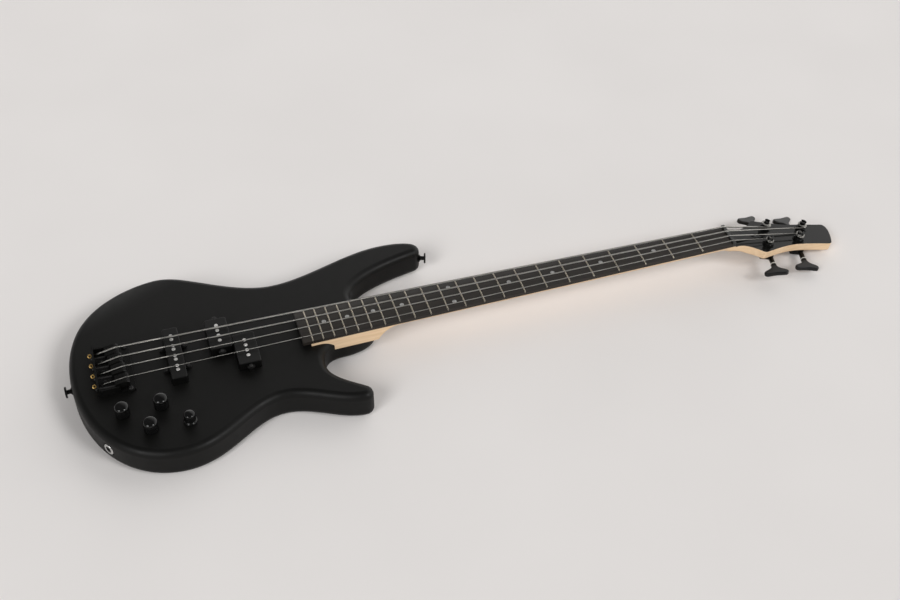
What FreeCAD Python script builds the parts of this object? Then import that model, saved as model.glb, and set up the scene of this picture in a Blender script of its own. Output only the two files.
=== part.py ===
import FreeCAD, Part
import math
import os

from FreeCAD import Placement, Rotation, Vector

# Four-string electric bass guitar lying on its back, in millimetres.
# +X runs from the bridge to the headstock, +Y to the bass side and +Z up from the back of the body.
# The origin is on the back of the body, on the centre line, under the bridge end of the string scale.

# Strings, from the thickest to the thinnest
scale_length = 864.0
string_names = ("e", "a", "d", "g")
string_diameters = (2.67, 2.16, 1.65, 1.14)
saddle_setback = (11.2, 8.4, 6.5, 4.5)
winding_turns = (1, 1, 2, 2)
string_spacing_bridge = 19.0
string_spacing_nut = 10.3
string_action_bridge = 4.5
string_action_nut = 0.5
winding_gap = 0.6
string_break_radius = 9.0
string_clearance = 0.3
tuck_radius_least = 2.0
tuck_straight = 1.5

# Body block, with the stations of its upper half set from the tongue under the neck
body_thickness = 42.0
body_edge_radius = 9.5
body_back_radius = 10.5
arm_contour_side = 105.6
arm_contour_heading = 27.4
arm_contour_radius = 150.0
tail_reach = 75.2
tail_side = 10.6
bass_bout_station = 56.7
bass_bout_width = 169.5
bass_waist_setback = 120.3
bass_waist_width = 108.1
bass_crest_setback = 53.9
bass_horn_width = 144.4
bass_horn_lead = 99.7
bass_nose_radius = 13.0
bass_nose_drop = 8.1
bass_cutaway_setback = 20.0
bass_cutaway_width = 50.9
tongue_lip = 7.5
tongue_side_setback = 50.4
tongue_half_width = 29.1
treble_cutaway_setback = 82.8
treble_cutaway_width = 67.0
treble_horn_setback = 35.2
treble_horn_width = 139.5
treble_nose_radius = 12.0
treble_waist_setback = 147.6
treble_waist_width = 106.0
treble_bout_station = 48.7
treble_bout_width = 163.2

# Neck and headstock
neck_width_nut = 41.0
neck_width_last_fret = 62.0
heel_block_length = 86.5
heel_slope_length = 30.0
heel_slope_radius = 34.8
heel_slope_edge = 0.6
heel_thickness = 20.0
pocket_depth = 16.0
pocket_clearance = 0.2
shaft_depth_nut = 14.2
shaft_depth_octave = 15.8
head_blend_length = 12.0
head_tilt = 10.5
head_thickness = 13.5
head_back_radius = 2.0
head_step = 1.0
head_length = 173.0
head_corner_reach = 45.0
head_corner_width = 36.0
head_stagger = 12.5
head_waist_reach = 108.0
head_waist_width = 22.5

# Fretboard, frets and nut
fret_count = 22
board_end_margin = 13.45
board_overhang = 11.0
board_thickness = 6.3
board_radius = 305.0
fret_width = 2.2
fret_height = 1.0
fret_tang_width = 0.6
fret_tang_depth = 2.0
fret_end_inset = 0.3
fret_end_bevel = 0.8
dot_radius = 3.0
dot_depth = 1.5
side_dot_radius = 1.0
side_dot_depth = 2.0
single_dot_frets = (3, 5, 7, 9, 15, 17, 19, 21)
octave_fret = 12
octave_dot_spacing = 30.0
nut_thickness = 4.5
nut_cover = 0.9

# Truss rod
rod_radius = 2.8
rod_channel_depth = 9.0
rod_slot_length = 24.0
rod_nut_radius = 4.0
rod_nut_length = 10.0
rod_cover_length = 44.0
rod_cover_width = 20.0
rod_cover_tip_width = 10.0
rod_cover_thickness = 1.8

# Neck joint
neck_bolt_margin = 22.0
neck_bolt_spacing = 44.0
neck_bolt_sides = (-19.0, 19.0, -9.0, 18.0)
neck_bolt_radius = 2.5
neck_bolt_grip = 15.0
neck_bolt_head_radius = 4.4
neck_bolt_head_height = 2.6
ferrule_radius = 6.5
ferrule_height = 4.0
bolt_clearance = 0.15

# Bridge
bridge_rear = 41.5
bridge_front = 6.0
bridge_half_width = 40.5
bridge_plate_thickness = 3.0
bridge_wall_thickness = 2.5
bridge_wall_height = 15.5
bridge_rail_front = -13.0
bridge_rail_height = 8.0
bridge_lug_radius = 5.0
bridge_lug_station = 0.0
bridge_lug_inset = 1.9
bridge_screw_radius = 1.7
bridge_screw_head_radius = 3.2
bridge_screw_head_height = 2.2
bridge_screw_grip = 18.0
bridge_rear_screw_station = -31.0
string_hole_rise = 9.3
saddle_width = 17.2
saddle_rear_length = 14.0
saddle_front_length = 4.5
saddle_ground_gap = 3.5
saddle_cover = 0.7
saddle_crown = 1.5
saddle_front_drop = 2.0
intonation_offset = 6.1
intonation_radius = 1.25
intonation_rise = 9.2
intonation_head_radius = 2.2
intonation_head_height = 2.4
intonation_end_gap = 5.5
height_screw_radius = 1.25
height_screw_offset = 4.8
height_screw_station = 2.2
foot_gap = 0.05
thread_clearance = 0.08
ball_radius = 2.9
ball_length = 4.4
ball_gap = 0.5
ball_hole_radius = 1.3
ball_tilts = (38.0, 30.0, 44.0, 34.0)

# Pickups
pickup_rise = 12.0
pickup_cover_depth = 11.0
pickup_wall = 1.5
pickup_corner = 3.0
pickup_fit = 0.5
bridge_pickup_station = 62.7
bridge_pickup_length = 95.0
bridge_pickup_width = 20.5
bridge_tab_spacing = 39.5
bridge_tab_radius = 4.6
bridge_tab_reach = 3.2
bridge_tab_thickness = 3.0
split_bass_station = 124.0
split_treble_station = 155.0
split_center = 19.2
split_length = 57.0
split_width = 29.5
split_tab_radius = 5.0
split_tab_reach = 3.2
split_tab_thickness = 2.5
split_tab_rise = 6.3
split_pole_spacing = 9.7
bridge_pole_pair_spacing = 7.0
pole_radius = 2.5
pole_rise = 0.8
pole_length = 21.0
coil_wall = 4.0
coil_top_gap = 3.0
pickup_screw_radius = 1.5
pickup_screw_head_radius = 2.7
pickup_screw_head_height = 1.8
pickup_screw_grip = 9.0
sleeve_wall = 1.2
pickup_cavity_floor = 20.0

# Controls
knob_places = ((-16.0, -79.0), (33.0, -79.0), (15.0, -115.0), (64.0, -115.0))
knob_names = ("split_volume_knob", "bridge_volume_knob", "tone_knob", "boost_knob")
shaft_names = ("split_volume_shaft", "bridge_volume_shaft", "tone_shaft", "boost_shaft")
large_knob_radius = 9.5
large_knob_height = 17.5
small_knob_radius = 7.5
small_knob_height = 15.5
small_knob_flange_radius = 8.8
small_knob_flange_height = 1.6
knob_ground_gap = 0.5
knob_dome = 1.6
knob_edge_radius = 3.2
knob_recess_radius = 6.6
knob_recess_depth = 4.0
pot_top_wall = 6.0
pot_radius = 8.5
pot_height = 8.5
pot_bush_radius = 3.7
pot_bush_rise = 3.2
pot_nut_radius = 5.6
pot_nut_height = 2.2
pot_shaft_radius = 3.0
pot_shaft_clearance = 0.06
pot_hole_clearance = 0.2
knob_bore_top_gap = 4.5

# Control cavity behind the knobs, seen from the back
cavity_left = -34.0
cavity_right = 84.0
cavity_inner = -62.0
cavity_outer = -136.0
cavity_corner_x = 0.0
cavity_corner_y = -98.0
cavity_rounding = 6.0
cover_flange = 6.0
cover_thickness = 2.0
cover_clearance = 0.2
small_screw_radius = 1.3
small_screw_head_radius = 2.6
small_screw_head_height = 1.2
small_screw_grip = 9.0
battery_size = (48.0, 26.0, 17.0)
battery_corner = (-14.0, -101.0)
board_size = (34.0, 24.0, 1.6)
board_corner = (47.0, -127.0)
board_drop = 1.2
channel_radius = 3.5
wire_radius = 0.9
wire_bend = 3.5
wire_spread = 1.7

# Output jack on the rim
jack_along_rim = 0.5145
jack_rise = 21.0
jack_recess_radius = 9.0
jack_recess_depth = 3.0
jack_barrel_radius = 4.75
jack_barrel_length = 30.0
jack_bore_radius = 3.25
jack_bore_depth = 26.0
jack_nut_radius = 8.0
jack_nut_height = 3.5
jack_seat_depth = 6.0
jack_clearance = 0.15

# Strap buttons
horn_strap_heading = -18.0
strap_flange_radius = 6.0
strap_flange_height = 2.6
strap_neck_radius = 3.0
strap_neck_length = 4.6
strap_head_radius = 7.6
strap_head_height = 2.4
strap_screw_radius = 1.9
strap_screw_head_radius = 3.4
strap_screw_grip = 22.0
strap_rise = 21.0
tail_strap_along_rim = 0.975
strap_seat_gap = 0.05

# Tuners: place on the headstock face and side, in string order
tuner_places = ((70.0, 18.5, 1), (129.0, 12.0, 1), (111.5, -12.0, -1), (56.0, -18.5, -1))
tuner_splay = 14.0
key_rest_turn = (-5.0, -5.0, 4.0, 15.0)
post_radius = 4.5
post_cap_radius = 5.0
post_cap_height = 1.6
post_top = 13.4
post_clearance = 0.1
bushing_sleeve_radius = 6.3
bushing_sleeve_depth = 9.0
bushing_hex_radius = 8.0
bushing_height = 4.0
bushing_washer_radius = 9.0
bushing_washer_height = 1.0
winding_start = 6.2
worm_gap = 0.4
worm_drop = 5.2
worm_radius = 2.3
gear_radius = 5.6
gear_height = 5.0
gear_teeth = 20
gear_tooth_depth = 0.7
housing_inner = 8.5
housing_outer = 7.6
housing_back = 7.6
housing_worm_side = 4.2
housing_depth = 10.0
housing_wall = 1.4
housing_rounding = 2.4
housing_foot_thickness = 2.0
housing_foot_reach = 4.0
key_tube_radius = 3.5
key_tube_end = 23.0
key_shaft_radius = 2.3
key_washer_radius = 4.4
key_washer_thickness = 1.2
key_washer_gap = 0.15
key_length = 23.0
key_half_width = 17.5
key_lobe_width = 9.0
key_stem_radius = 3.3
key_collar_radius = 3.9
key_collar_length = 3.0
key_thickness = 6.0
key_edge_radius = 1.8
key_shaft_seat = 8.0

# Levels and lines that follow from the sizes above
pocket_floor = body_thickness - pocket_depth
board_bottom = pocket_floor + heel_thickness
board_crown = board_bottom + board_thickness
board_axis_z = board_crown - board_radius
string_level_bridge = board_crown + fret_height + string_action_bridge
string_level_nut = board_crown + fret_height + string_action_nut
nut_front = scale_length + nut_thickness
nut_middle = scale_length + nut_thickness / 2
last_fret = scale_length * 2 ** (-fret_count / 12.0)
board_end = last_fret - board_end_margin
neck_heel_end = board_end + board_overhang
heel_block_end = neck_heel_end + heel_block_length
tongue_reach = heel_block_end + tongue_lip
neck_bolt_stations = (neck_heel_end + neck_bolt_margin, neck_heel_end + neck_bolt_margin + neck_bolt_spacing)
bass_horn_reach = tongue_reach + bass_horn_lead
bass_nose_side = bass_horn_width - bass_nose_radius - bass_nose_drop
worm_offset = gear_radius + worm_radius + worm_gap
head_frame = Placement(Vector(nut_front, 0, board_bottom - head_step), Rotation(Vector(0, 1, 0), head_tilt))
bridge_top = body_thickness + bridge_plate_thickness
pot_seat = body_thickness - pot_top_wall
worm_level = -head_thickness - worm_drop
pickup_top = body_thickness + pickup_rise


def export(shape, name):
    """Write one node, a single solid or a group of separate solids."""
    shape.exportStep("parts/" + name + ".step")
    print(name, len(shape.Solids), "solids", round(shape.Volume, 1), "mm3")


def box(x0, x1, y0, y1, z0, z1):
    return Part.makeBox(x1 - x0, y1 - y0, z1 - z0, Vector(x0, y0, z0))


def rod(radius, start, end):
    """A round bar between two points."""
    axis = end - start
    return Part.makeCylinder(radius, axis.Length, start, axis)


def pillar(radius, x, y, bottom, top):
    """An upright round bar."""
    return Part.makeCylinder(radius, top - bottom, Vector(x, y, bottom))


def hexagon(radius, x, y, bottom, top):
    """An upright hexagonal bar, sized across its corners."""
    corners = [heading(60 * step) * radius for step in range(6)]
    return prism([(x + corner.x, y + corner.y) for corner in corners], bottom, top)


def placed(shape, placement):
    moved = shape.copy()
    moved.Placement = placement.multiply(moved.Placement)
    return moved


def prism(points, bottom, top):
    """Upright prism over a polygon given as (x, y) corners."""
    corners = [Vector(x, y, bottom) for x, y in points]
    return Part.Face(Part.makePolygon(corners + corners[:1])).extrude(Vector(0, 0, top - bottom))


def heading(angle):
    return Vector(math.cos(math.radians(angle)), math.sin(math.radians(angle)), 0)


def knot_edges(knots):
    """Smooth flat curves through knots of (x, y, heading, handle before, handle after).
    A handle is a share of the straight distance to the next knot on its side."""
    edges = []
    for here, there in zip(knots, knots[1:]):
        start = Vector(here[0], here[1], 0)
        end = Vector(there[0], there[1], 0)
        chord = (end - start).Length
        curve = Part.BezierCurve()
        handles = [start + heading(here[2]) * here[4] * chord, end - heading(there[2]) * there[3] * chord]
        curve.setPoles([start] + handles + [end])
        edges.append(curve.toShape())
    return edges


def knot_face(knots):
    """Smooth closed outline."""
    return Part.Face(Part.Wire(knot_edges(knots + knots[:1])))


def cut_off_face(knots):
    """Smooth outline closed by one straight line from its last knot to its first."""
    ends = [Vector(knot[0], knot[1], 0) for knot in (knots[-1], knots[0])]
    return Part.Face(Part.Wire(knot_edges(knots) + [Part.makeLine(ends[0], ends[1])]))


def edges_at(shape, level):
    """Edges that lie flat at one height."""
    return [edge for edge in shape.Edges
            if abs(edge.BoundBox.ZMin - level) < 0.01 and abs(edge.BoundBox.ZMax - level) < 0.01]


def rounded_bar(x0, x1, y0, y1, z0, z1, radius):
    """Block with its four upright edges rounded."""
    block = box(x0, x1, y0, y1, z0, z1)
    upright = [edge for edge in block.Edges if abs(edge.BoundBox.ZLength - (z1 - z0)) < 0.01]
    return block.makeFillet(radius, upright)


def neck_half_width(x):
    slope = (neck_width_last_fret - neck_width_nut) / (scale_length - last_fret)
    return (neck_width_nut + (scale_length - x) * slope) / 2


def neck_prism(x0, x1, extra, bottom, top):
    """Straight block that follows the taper of the neck, wider by extra on each side."""
    near = neck_half_width(x0) + extra
    far = neck_half_width(x1) + extra
    return prism(((x0, -near), (x1, -far), (x1, far), (x0, near)), bottom, top)


def fret_station(number):
    return scale_length * 2 ** (-number / 12.0)


def crown_cylinder(radius):
    """Long cylinder of the fretboard's camber."""
    return Part.makeCylinder(radius, scale_length + 100, Vector(-50, 0, board_axis_z), Vector(1, 0, 0))


def camber_drop(y):
    return board_radius - math.sqrt(board_radius ** 2 - y ** 2)


def string_side(index):
    """Offset of a string from the centre line, in string spacings."""
    return 1.5 - index


def saddle_point(index):
    y = string_side(index) * string_spacing_bridge
    z = string_level_bridge - camber_drop(y) + string_diameters[index] / 2
    return Vector(-saddle_setback[index], y, z)


def nut_point(index):
    y = string_side(index) * string_spacing_nut
    z = string_level_nut - camber_drop(y) + string_diameters[index] / 2
    return Vector(nut_middle, y, z)


def anchor_point(index):
    """Where a string leaves its ball end, behind the rear wall of the bridge."""
    y = string_side(index) * string_spacing_bridge
    return Vector(-bridge_rear, y, body_thickness + string_hole_rise)


def string_start(index):
    """Start of a string, just clear of its ball end."""
    anchor = anchor_point(index)
    return anchor + (saddle_point(index) - anchor).normalize() * ball_gap


def tuner_frame(index):
    """Frame of a tuner: X out along the key shaft, Z up along the post, origin on the headstock face."""
    along, across, side = tuner_places[index]
    turn = Rotation(Vector(0, 0, 1), side * (90 + tuner_splay))
    return head_frame.multiply(Placement(Vector(along, across, 0), turn))


def screw(radius, grip, head_radius, head_height):
    """Screw standing on its seat at the origin: shank down, domed head up."""
    head = Part.makeCylinder(head_radius, head_height)
    top = edges_at(head, head_height)
    head = head.makeFillet(head_height * 0.6, top)
    half = head_height * 0.15
    slot = box(-head_radius, head_radius, -half, half, head_height * 0.55, head_height)
    return head.cut(slot).fuse(Part.makeCylinder(radius, grip, Vector(0, 0, -grip)))


def upright(x, y, z):
    return Placement(Vector(x, y, z), Rotation())


def upside_down(x, y, z):
    return Placement(Vector(x, y, z), Rotation(Vector(1, 0, 0), 180))


def body_knots():
    """Outline of the body from the tail along the bass side to the tongue, and back on the treble side."""
    bass_nose_x = bass_horn_reach - bass_nose_radius
    bass_inner = heading(-77) * bass_nose_radius
    treble_nose_y = -treble_horn_width + treble_nose_radius
    treble_nose_x = tongue_reach - treble_horn_setback - treble_nose_radius
    treble_inner = heading(49.5) * treble_nose_radius
    return [
        (-tail_reach, tail_side, 90, 0.480, 0.462),
        (bass_bout_station, bass_bout_width, 0, 0.375, 0.257),
        (tongue_reach - bass_waist_setback, bass_waist_width, 0, 0.340, 0.310),
        (bass_horn_reach - bass_crest_setback, bass_horn_width, 0, 0.332, 0.401),
        (bass_horn_reach, bass_nose_side, -90, 0.280, 0.374),
        (bass_nose_x + bass_inner.x, bass_nose_side + bass_inner.y, 190.7, 0.374, 0.427),
        (tongue_reach - bass_cutaway_setback, bass_cutaway_width, -90, 0.253, 0.397),
        (tongue_reach, 0, -90, 0.361, 0.312),
        (tongue_reach - tongue_side_setback, -tongue_half_width, 180, 0.477, 0.518),
        (tongue_reach - treble_cutaway_setback, -treble_cutaway_width, -90, 0.448, 0.322),
        (treble_nose_x + treble_inner.x, treble_nose_y + treble_inner.y, -40.5, 0.305, 0.353),
        (treble_nose_x + treble_nose_radius, treble_nose_y, -90, 0.346, 0.390),
        (treble_nose_x, -treble_horn_width, 180, 0.405, 0.316),
        (tongue_reach - treble_waist_setback, -treble_waist_width, 180, 0.327, 0.304),
        (treble_bout_station, -treble_bout_width, 180, 0.403, 0.331),
    ]


def cavity_outline(grow):
    """Control cavity from the back, a rectangle with its jack corner cut off, grown by a margin."""
    left = cavity_left - grow
    right = cavity_right + grow
    inner = cavity_inner + grow
    outer = cavity_outer - grow
    slant = grow * 0.45
    return ((left, inner), (left, cavity_corner_y - slant), (cavity_corner_x - slant, outer),
            (right, outer), (right, inner))


def cavity_prism(grow, bottom, top):
    block = prism(cavity_outline(grow), bottom, top)
    upright_edges = [edge for edge in block.Edges if abs(edge.BoundBox.ZLength - (top - bottom)) < 0.01]
    return block.makeFillet(cavity_rounding + max(grow, 0), upright_edges)


def cover_screw_places():
    inset = cover_flange / 2
    left = cavity_left - inset
    right = cavity_right + inset
    inner = cavity_inner + inset
    outer = cavity_outer - inset
    middle = (left + right) / 2
    return ((left, cavity_inner - 8), (middle, inner), (right, cavity_inner - 8),
            (right, cavity_outer + 12), (middle, outer), (left, cavity_corner_y + 4))


def rim_frame(along, rise, gap):
    """Frame on the rim between the treble bout and the tail, with Z pointing out of the body."""
    knots = body_knots()
    rim = knot_edges([knots[-1], knots[0]])[0]
    outward = Rotation(Vector(0, 0, 1), 90).multVec(rim.tangentAt(along))
    place = rim.valueAt(along) + outward * gap + Vector(0, 0, rise)
    return Placement(place, Rotation(Vector(0, 0, 1), outward))


def jack_frame():
    return rim_frame(jack_along_rim, jack_rise, 0)


def strap_frames():
    """Frames of the two strap buttons with Z pointing out of the body."""
    tail = rim_frame(tail_strap_along_rim, strap_rise, strap_seat_gap)
    outward = heading(horn_strap_heading)
    nose = Vector(bass_horn_reach - bass_nose_radius, bass_nose_side, strap_rise)
    horn = Placement(nose + outward * (bass_nose_radius + strap_seat_gap), Rotation(Vector(0, 0, 1), outward))
    return (tail, horn)


def neck_bolt_places():
    rear, front = neck_bolt_stations
    return tuple(zip((rear, rear, front, front), neck_bolt_sides))


def bridge_screw_places():
    lug_y = bridge_half_width - bridge_lug_inset
    rear = [(bridge_rear_screw_station, string_spacing_bridge * step) for step in (-1, 0, 1)]
    return rear + [(bridge_lug_station, lug_y), (bridge_lug_station, -lug_y)]


def bridge_tab_places():
    reach = bridge_pickup_width / 2 + bridge_tab_reach
    return [(bridge_pickup_station + sign * reach, step * bridge_tab_spacing / 2)
            for sign in (-1, 1) for step in (-1, 1)]


def split_tab_places():
    reach = split_length / 2 + split_tab_reach
    halves = ((split_bass_station, split_center), (split_treble_station, -split_center))
    return [(station, center + sign * reach) for station, center in halves for sign in (-1, 1)]


def pickup_cavity(x, y, width, length):
    half_x = width / 2 + pickup_fit
    half_y = length / 2 + pickup_fit
    return rounded_bar(x - half_x, x + half_x, y - half_y, y + half_y, pickup_cavity_floor,
                       body_thickness + 1, pickup_corner + pickup_fit)


def contoured_slab():
    """Slab wider than the body, flat on top, that falls away in a wide round under the player's forearm."""
    along = heading(arm_contour_heading)
    across = Rotation(Vector(0, 0, 1), 90).multVec(along)
    span = 2 * bass_horn_reach
    start = Vector(0, arm_contour_side, body_thickness) - along * span
    fall = [start + across * arm_contour_radius * math.sin(turn)
            - Vector(0, 0, arm_contour_radius * (1 - math.cos(turn))) for turn in (math.pi / 12, math.pi / 6)]
    far = start - across * span
    below = Vector(0, 0, -body_thickness)
    floor = [Vector(fall[1].x, fall[1].y, 0), far + below]
    edges = [Part.makeLine(far, start), Part.Arc(start, fall[0], fall[1]).toShape(),
             Part.makeLine(fall[1], floor[0]), Part.makeLine(floor[0], floor[1]),
             Part.makeLine(floor[1], far)]
    return Part.Face(Part.Wire(edges)).extrude(along * 2 * span)


def make_body():
    block = knot_face(body_knots()).extrude(Vector(0, 0, 2 * body_thickness)).common(contoured_slab())
    rim = [edge for edge in block.Edges
           if edge.BoundBox.ZMin > body_thickness / 2 and not isinstance(edge.Curve, Part.Line)]
    block = block.makeFillet(body_edge_radius, rim)
    block = block.makeFillet(body_back_radius, edges_at(block, 0))
    tools = [neck_prism(neck_heel_end - pocket_clearance, tongue_reach + 60, pocket_clearance,
                        pocket_floor, body_thickness + 1)]
    tools.append(pickup_cavity(bridge_pickup_station, 0, bridge_pickup_width, bridge_pickup_length))
    tools.append(pickup_cavity(split_bass_station, split_center, split_width, split_length))
    tools.append(pickup_cavity(split_treble_station, -split_center, split_width, split_length))
    tools.append(cavity_prism(0, -1, pot_seat))
    tools.append(cavity_prism(cover_flange + cover_clearance, -1, cover_thickness))
    for x, y in knob_places:
        hole = pillar(pot_bush_radius + pot_hole_clearance, x, y, pot_seat - 1, body_thickness + 1)
        tools.append(hole)
    tools.extend(wire_channels())
    recess = Part.makeCylinder(jack_recess_radius, jack_recess_depth + 20, Vector(0, 0, -jack_recess_depth))
    barrel_hole = pillar(jack_barrel_radius + jack_clearance, 0, 0, -jack_barrel_length - 6, 1)
    tools.extend(placed(tool, jack_frame()) for tool in (recess, barrel_hole))
    for x, y in neck_bolt_places():
        tools.append(pillar(neck_bolt_radius + bolt_clearance, x, y, -1, pocket_floor + 1))
        tools.append(pillar(ferrule_radius, x, y, -1, ferrule_height))
    for x, y in bridge_screw_places():
        depth = bridge_screw_grip - bridge_plate_thickness
        tools.append(pillar(bridge_screw_radius, x, y, body_thickness - depth, body_thickness + 1))
    for x, y in bridge_tab_places() + split_tab_places():
        depth = pickup_screw_grip
        tools.append(pillar(pickup_screw_radius, x, y, body_thickness - depth, body_thickness + 1))
    for x, y in cover_screw_places():
        tools.append(pillar(small_screw_radius, x, y, -1, small_screw_grip))
    for frame in strap_frames():
        tools.append(placed(pillar(strap_screw_radius, 0, 0, -strap_screw_grip, 1), frame))
    return block.cut(tools)


def channel_runs():
    """Straight drilled wire channels: split pickups to bridge pickup, bridge pickup to controls."""
    level = pickup_cavity_floor + 4
    split_y = -split_center - 12
    lead_x = bridge_pickup_station - 4
    cavity_edge = -bridge_pickup_length / 2
    return ((Vector(split_treble_station - split_width / 2 + 2, split_y, level),
             Vector(bridge_pickup_station + bridge_pickup_width / 2 - 2, split_y, level)),
            (Vector(split_bass_station, split_center - split_length / 2 + 2, level),
             Vector(split_treble_station - split_width / 2 + 4, split_y + 4, level)),
            (Vector(lead_x, cavity_edge + 4, level), Vector(lead_x, cavity_inner - 4, level)))


def wire_channels():
    return [rod(channel_radius, start, end) for start, end in channel_runs()]


def section(x):
    """Cross-section of the neck shaft at one station: flat on top, a round arc below.
    It turns into a squarer block at the headstock."""
    half = neck_half_width(x)
    depth_gain = (shaft_depth_octave - shaft_depth_nut) * (scale_length - x) / (scale_length / 2)
    depth = shaft_depth_nut + depth_gain
    head_blend = min(1, max(0, (x - scale_length + head_blend_length) / head_blend_length))
    squareness = 2.4 + 1.2 * head_blend
    roundness = 1 - head_blend
    arc_radius = (half ** 2 + depth ** 2) / (2 * depth)
    arc_lift = arc_radius - depth
    arc_start = math.atan2(arc_lift, half)
    points = []
    for step in range(17):
        angle = math.pi * step / 16
        reach = math.copysign(abs(math.cos(angle)) ** (2 / squareness) * half, math.cos(angle))
        drop = math.sin(angle) ** (2 / squareness) * depth
        arc_angle = arc_start + (math.pi - 2 * arc_start) * step / 16
        reach += roundness * (arc_radius * math.cos(arc_angle) - reach)
        drop += roundness * (arc_radius * math.sin(arc_angle) - arc_lift - drop)
        points.append(Vector(x, reach, board_bottom - drop))
    curve = Part.BSplineCurve()
    curve.interpolate(points)
    top = Part.LineSegment(points[-1], points[0])
    return Part.Wire([curve.toShape(), top.toShape()])


def head_knots():
    """Outline of the headstock on its face, from the nut out along the treble edge and back."""
    neck = neck_width_nut / 2
    corner = head_corner_reach
    wide = head_corner_width
    waist = head_waist_width
    back = head_stagger
    return [
        (-3, -neck, 0, 0, 0.264),
        (12, -neck + 2, 0, 0.330, 0.302),
        (corner - 4, -wide + 1.4, -45, 0.271, 0.342),
        (corner + 3, -wide + 0.9, 17, 0.342, 0.326),
        (head_waist_reach, -waist, 0, 0.326, 0.340),
        (head_length - 16.5, -waist - 3.2, -5, 0.297, 0.472),
        (head_length - 8.5, -waist + 2, 65, 0.419, 0.303),
        (head_length, 8, 88, 0.303, 0.422),
        (head_length - 5.5, waist - 4, 178, 0.337, 0.307),
        (head_waist_reach + back, waist - 0.5, 180, 0.307, 0.293),
        (corner + 3 + back, wide - 0.9, 163, 0.326, 0.342),
        (corner - 4 + back, wide - 1.4, 225, 0.342, 0.271),
        (12 + back, neck - 2, 180, 0.302, 0.326),
        (-3, neck, 180, 0.072, 0),
    ]


def rod_channel():
    half = rod_radius + 0.1
    floor = board_bottom - rod_channel_depth
    return box(neck_heel_end + 6, nut_front + 0.5, -half, half, floor, board_bottom + 1)


def rod_slot():
    """Pocket in the headstock face for the truss rod nut."""
    half = rod_nut_radius + 1
    pocket = box(-1, rod_slot_length, -half, half, -rod_channel_depth, 1)
    return placed(pocket, head_frame)


def heel_block():
    """Square heel; a hollow sweep leads its underside up to the edge of the fretboard."""
    end = tongue_reach + heel_slope_length
    block = neck_prism(neck_heel_end, end, 0, pocket_floor, board_bottom)
    axis_z = board_bottom - heel_slope_edge - heel_slope_radius
    sweep = rod(heel_slope_radius, Vector(end, -50, axis_z), Vector(end, 50, axis_z))
    return block.cut(sweep)


def make_neck():
    blend_start = scale_length - head_blend_length
    blend_step = (nut_front - blend_start) / 3
    shaft = Part.makeLoft([section(heel_block_end - 6), section(blend_start)], True, True)
    blend = Part.makeLoft([section(blend_start + blend_step * count) for count in range(4)], True, False)
    plate = cut_off_face(head_knots()).extrude(Vector(0, 0, -head_thickness))
    rim = [edge for edge in edges_at(plate, -head_thickness) if edge.BoundBox.XMax > 0]
    plate = plate.makeFillet(head_back_radius, rim)
    above_face = box(neck_heel_end - 1, nut_front, -40, 40, board_bottom, board_bottom + 20)
    neck = shaft.fuse([blend, heel_block(), placed(plate, head_frame)]).cut(above_face)
    tools = [rod_channel(), rod_slot()]
    for x, y in neck_bolt_places():
        tools.append(pillar(neck_bolt_radius, x, y, pocket_floor - 1, pocket_floor + neck_bolt_grip))
    for index in range(4):
        sleeve = pillar(bushing_sleeve_radius, 0, 0, -head_thickness - 1, 1)
        tools.append(placed(sleeve, tuner_frame(index)))
        for x, y in housing_screw_places(index):
            pilot = pillar(small_screw_radius, x, y, -head_thickness - 1, -head_thickness + 7)
            tools.append(placed(pilot, tuner_frame(index)))
    for u, v in rod_cover_screw_places():
        pilot = pillar(small_screw_radius, u, v, -small_screw_grip, 1)
        tools.append(placed(pilot, head_frame))
    return neck.cut(tools).removeSplitter()


def make_fretboard():
    slab = neck_prism(board_end, scale_length, 0, board_bottom, board_crown + 1)
    slab = slab.common(crown_cylinder(board_radius))
    slots = []
    for number in range(1, fret_count + 1):
        x = fret_station(number)
        half = fret_tang_width / 2
        ring = box(x - half, x + half, -40, 40, board_crown - 8, board_crown + 2)
        slots.append(ring.cut(crown_cylinder(board_radius - fret_tang_depth)))
    return slab.cut(slots + dot_plugs(0.5))


def fret_room(x):
    """Block across the neck that trims one fret to length and slopes its ends."""
    low = neck_half_width(x) - fret_end_inset
    top = board_crown + 2 * fret_height
    edge = board_crown - camber_drop(low)
    high = low - fret_end_bevel * (top - edge) / fret_height
    section_points = ((-low, board_bottom), (low, board_bottom), (low, edge),
                      (high, top), (-high, top), (-low, edge))
    corners = [Vector(x - fret_width, y, z) for y, z in section_points]
    return Part.Face(Part.makePolygon(corners + corners[:1])).extrude(Vector(2 * fret_width, 0, 0))


def make_frets():
    frets = []
    for number in range(1, fret_count + 1):
        x = fret_station(number)
        half = fret_width / 2
        tang = fret_tang_width / 2
        foot = board_crown - fret_tang_depth
        profile = ((half, board_crown), (tang, board_crown), (tang, foot),
                   (-tang, foot), (-tang, board_crown), (-half, board_crown))
        corners = [Vector(x + across, 0, level) for across, level in profile]
        edges = [Part.LineSegment(a, b).toShape() for a, b in zip(corners, corners[1:])]
        crown = Part.Arc(corners[-1], Vector(x, 0, board_crown + fret_height), corners[0])
        face = Part.Face(Part.Wire(edges + [crown.toShape()]))
        axis = Vector(0, 0, board_axis_z)
        face.rotate(axis, Vector(1, 0, 0), -8)
        wire = face.revolve(axis, Vector(1, 0, 0), 16)
        frets.append(wire.common(fret_room(x)))
    return Part.makeCompound(frets)


def dot_places():
    """Dots on the face of the board as (x, y), each halfway between two frets."""
    places = []
    for number in single_dot_frets + (octave_fret,):
        x = (fret_station(number) + fret_station(number - 1)) / 2
        shift = octave_dot_spacing / 2 if number == octave_fret else 0
        places.extend([(x, shift), (x, -shift)] if shift else [(x, 0)])
    return places


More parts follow.
